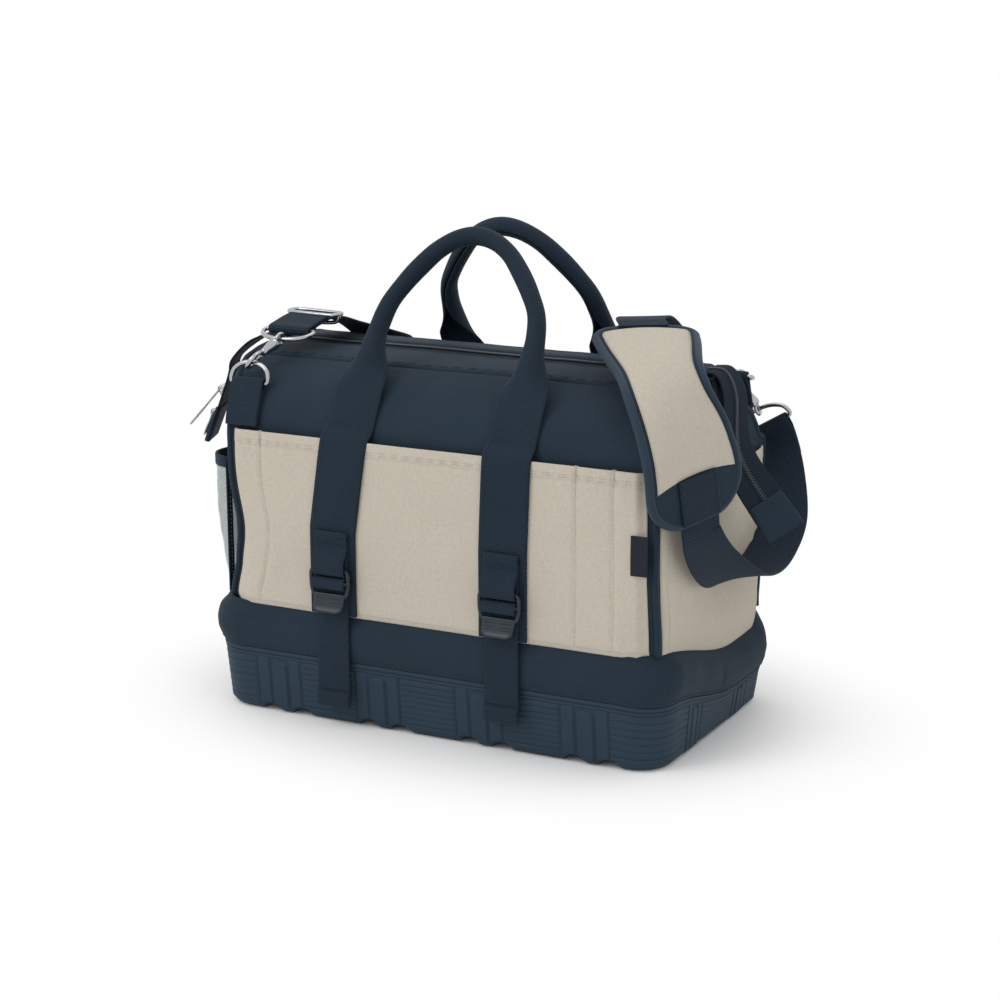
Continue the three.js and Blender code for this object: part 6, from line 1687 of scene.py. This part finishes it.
class TOOLBAG_OT_stage(bpy.types.Operator):
    """Pale floor, soft studio light and the camera of the photograph"""
    bl_idname = "toolbag.stage"
    bl_label = "Stage"

    def execute(self, context):
        scene = context.scene
        scene.view_settings.view_transform = "Standard"
        self.world(scene, scene.toolbag_looks)
        self.floor(scene)
        self.lamp(scene, "Key", (-1.5, -2.0, 2.4), 1.6, 30)
        self.lamp(scene, "Top", (0.2, 0.5, 2.6), 1.5, 8)
        camera = bpy.data.objects.new("Camera", bpy.data.cameras.new("Camera"))
        scene.collection.objects.link(camera)
        camera.data.lens, camera.data.sensor_width = 84.31, 36
        camera.data.clip_end = 50
        turn = (Matrix.Rotation(math.radians(27.09), 4, "Z") @ Matrix.Rotation(math.radians(90 - 14.08), 4, "X")
                @ Matrix.Rotation(math.radians(scene.toolbag_looks.roll), 4, "Z"))
        camera.matrix_world = Matrix.Translation((1.0349, -2.0058, 0.7723)) @ turn
        scene.camera = camera
        return {"FINISHED"}

    def lamp(self, scene, name, place_at, size, power):
        lamp = bpy.data.objects.new(name, bpy.data.lights.new(name, "AREA"))
        scene.collection.objects.link(lamp)
        lamp.data.size, lamp.data.energy = size, power
        way = Matrix.Translation(place_at).translation
        lamp.location = place_at
        aim = Matrix.Translation((0, 0, 0.2)).translation
        lamp.rotation_euler = (-way + aim).to_track_quat("-Z", "Y").to_euler()

    def world(self, scene, looks):
        """The same white light from everywhere."""
        world = bpy.data.worlds.new("Studio")
        world.use_nodes = True
        scene.world = world
        net = Net(world.node_tree)
        sky = world.node_tree.nodes["Background"]
        sky.inputs["Color"].default_value = (1, 1, 1, 1)
        sky.inputs["Strength"].default_value = looks.sky
        plain = net.node("ShaderNodeBackground", {"Color": (1, 1, 1, 1), "Strength": 1.0}).outputs[0]
        mix = net.node("ShaderNodeMixShader", {0: net.seen(), 1: sky.outputs[0], 2: plain}).outputs[0]
        world.node_tree.links.new(mix, world.node_tree.nodes["World Output"].inputs["Surface"])

    def floor(self, scene):
        """White floor that keeps the shadow near the bag and is plain white further off."""
        mesh = bpy.data.meshes.new("Floor")
        half, low = 9, -0.0005
        mesh.from_pydata([(-half, -half, low), (half, -half, low), (half, half, low), (-half, half, low)], [],
                         [(0, 1, 2, 3)])
        floor = bpy.data.objects.new("Floor", mesh)
        scene.collection.objects.link(floor)
        material = bpy.data.materials.new("Pale floor")
        material.use_nodes = True
        net = Net(material.node_tree)
        shader = material.node_tree.nodes["Principled BSDF"]
        shader.inputs["Base Color"].default_value = (0.97, 0.97, 0.97, 1)
        shader.inputs["Roughness"].default_value = 0.9
        shader.inputs["Specular IOR Level"].default_value = 0.1
        where = net.node("ShaderNodeTexCoord").outputs["Object"]
        squeezed = net.node("ShaderNodeMapping", {"Vector": where, "Scale": (0.85, 1.2, 1.0)}).outputs[0]
        reach = net.node("ShaderNodeVectorMath", {0: squeezed}, operation="LENGTH").outputs["Value"]
        far = net.node("ShaderNodeMapRange", {0: reach, 1: 0.2, 2: 0.42, 3: 0.0, 4: 1.0},
                       interpolation_type="SMOOTHSTEP").outputs[0]
        white = net.node("ShaderNodeEmission", {"Color": (1, 1, 1, 1), "Strength": 1.0}).outputs[0]
        mix = net.node("ShaderNodeMixShader", {0: net.math("MULTIPLY", far, net.seen()), 1: shader.outputs[0],
                                               2: white}).outputs[0]
        material.node_tree.links.new(mix, material.node_tree.nodes["Material Output"].inputs["Surface"])
        mesh.materials.append(material)


# User settings

def number_property(name, description, default, low, high, **more):
    return bpy.props.FloatProperty(name=name, description=description, default=default, min=low, max=high, **more)


def colour_property(name, description, default):
    return bpy.props.FloatVectorProperty(name=name, description=description, default=default, size=3, min=0, max=1,
                                         subtype="COLOR")


class ToolbagSizes(bpy.types.PropertyGroup):
    rib_step: number_property("Rib depth", "How far the ribs of the tub stand out, in mm", RIB_STEP, 0.2, 3)
    fold_depth: number_property("Fold depth", "How deep the folds of the cloth are", 1.0, 0, 2, subtype="FACTOR")
    piping: number_property("Piping", "Radius of the piping at the ends, in mm", PIPING, 2, 5)
    tooth_pitch: number_property("Tooth pitch", "Distance between zip teeth of one tape, in mm", 2.6, 2, 6)


class ToolbagLooks(bpy.types.PropertyGroup):
    navy: colour_property("Canvas", "Colour of the canvas body", (0.0148, 0.0275, 0.0425))
    patch: colour_property("Patch", "Colour of the beige pockets", (0.49, 0.446, 0.373))
    tub: colour_property("Tub", "Colour of the moulded tub", (0.0215, 0.0400, 0.0600))
    webbing: colour_property("Webbing", "Colour of the webbing", (0.0105, 0.0205, 0.0335))
    plastic: colour_property("Plastic", "Colour of the buckles", (0.0105, 0.0190, 0.0280))
    chrome: colour_property("Chrome", "Colour of the bright metal", (0.42, 0.43, 0.45))
    sky: number_property("Sky", "Strength of the light from all around", 0.85, 0, 3)
    roll: number_property("Roll", "Turn of the camera about its view, in degrees", -0.24, -5, 5)


OPERATORS = (TOOLBAG_OT_tub, TOOLBAG_OT_body, TOOLBAG_OT_piping, TOOLBAG_OT_pockets, TOOLBAG_OT_webbing,
             TOOLBAG_OT_lashings, TOOLBAG_OT_rings, TOOLBAG_OT_strap, TOOLBAG_OT_zip, TOOLBAG_OT_stage)


class TOOLBAG_PT_panel(bpy.types.Panel):
    """Sizes, colours and steps of the tool bag"""
    bl_idname = "TOOLBAG_PT_panel"
    bl_label = "Tool bag"
    bl_space_type = "VIEW_3D"
    bl_region_type = "UI"
    bl_category = "Tool bag"

    def draw(self, context):
        for group in (context.scene.toolbag_sizes, context.scene.toolbag_looks):
            for key in group.__annotations__:
                self.layout.prop(group, key)
        for operator in OPERATORS:
            self.layout.operator(operator.bl_idname)


CLASSES = (ToolbagSizes, ToolbagLooks, *OPERATORS, TOOLBAG_PT_panel)


def register():
    for cls in CLASSES:
        bpy.utils.register_class(cls)
    bpy.types.Scene.toolbag_sizes = bpy.props.PointerProperty(type=ToolbagSizes)
    bpy.types.Scene.toolbag_looks = bpy.props.PointerProperty(type=ToolbagLooks)


def unregister():
    del bpy.types.Scene.toolbag_looks
    del bpy.types.Scene.toolbag_sizes
    for cls in reversed(CLASSES):
        bpy.utils.unregister_class(cls)


def main():
    register()
    make_materials(bpy.context.scene.toolbag_looks)
    for name in ("tub", "body", "piping", "pockets", "webbing", "lashings", "rings", "strap", "zip", "stage"):
        getattr(bpy.ops.toolbag, name)()


if __name__ == "__main__":
    main()
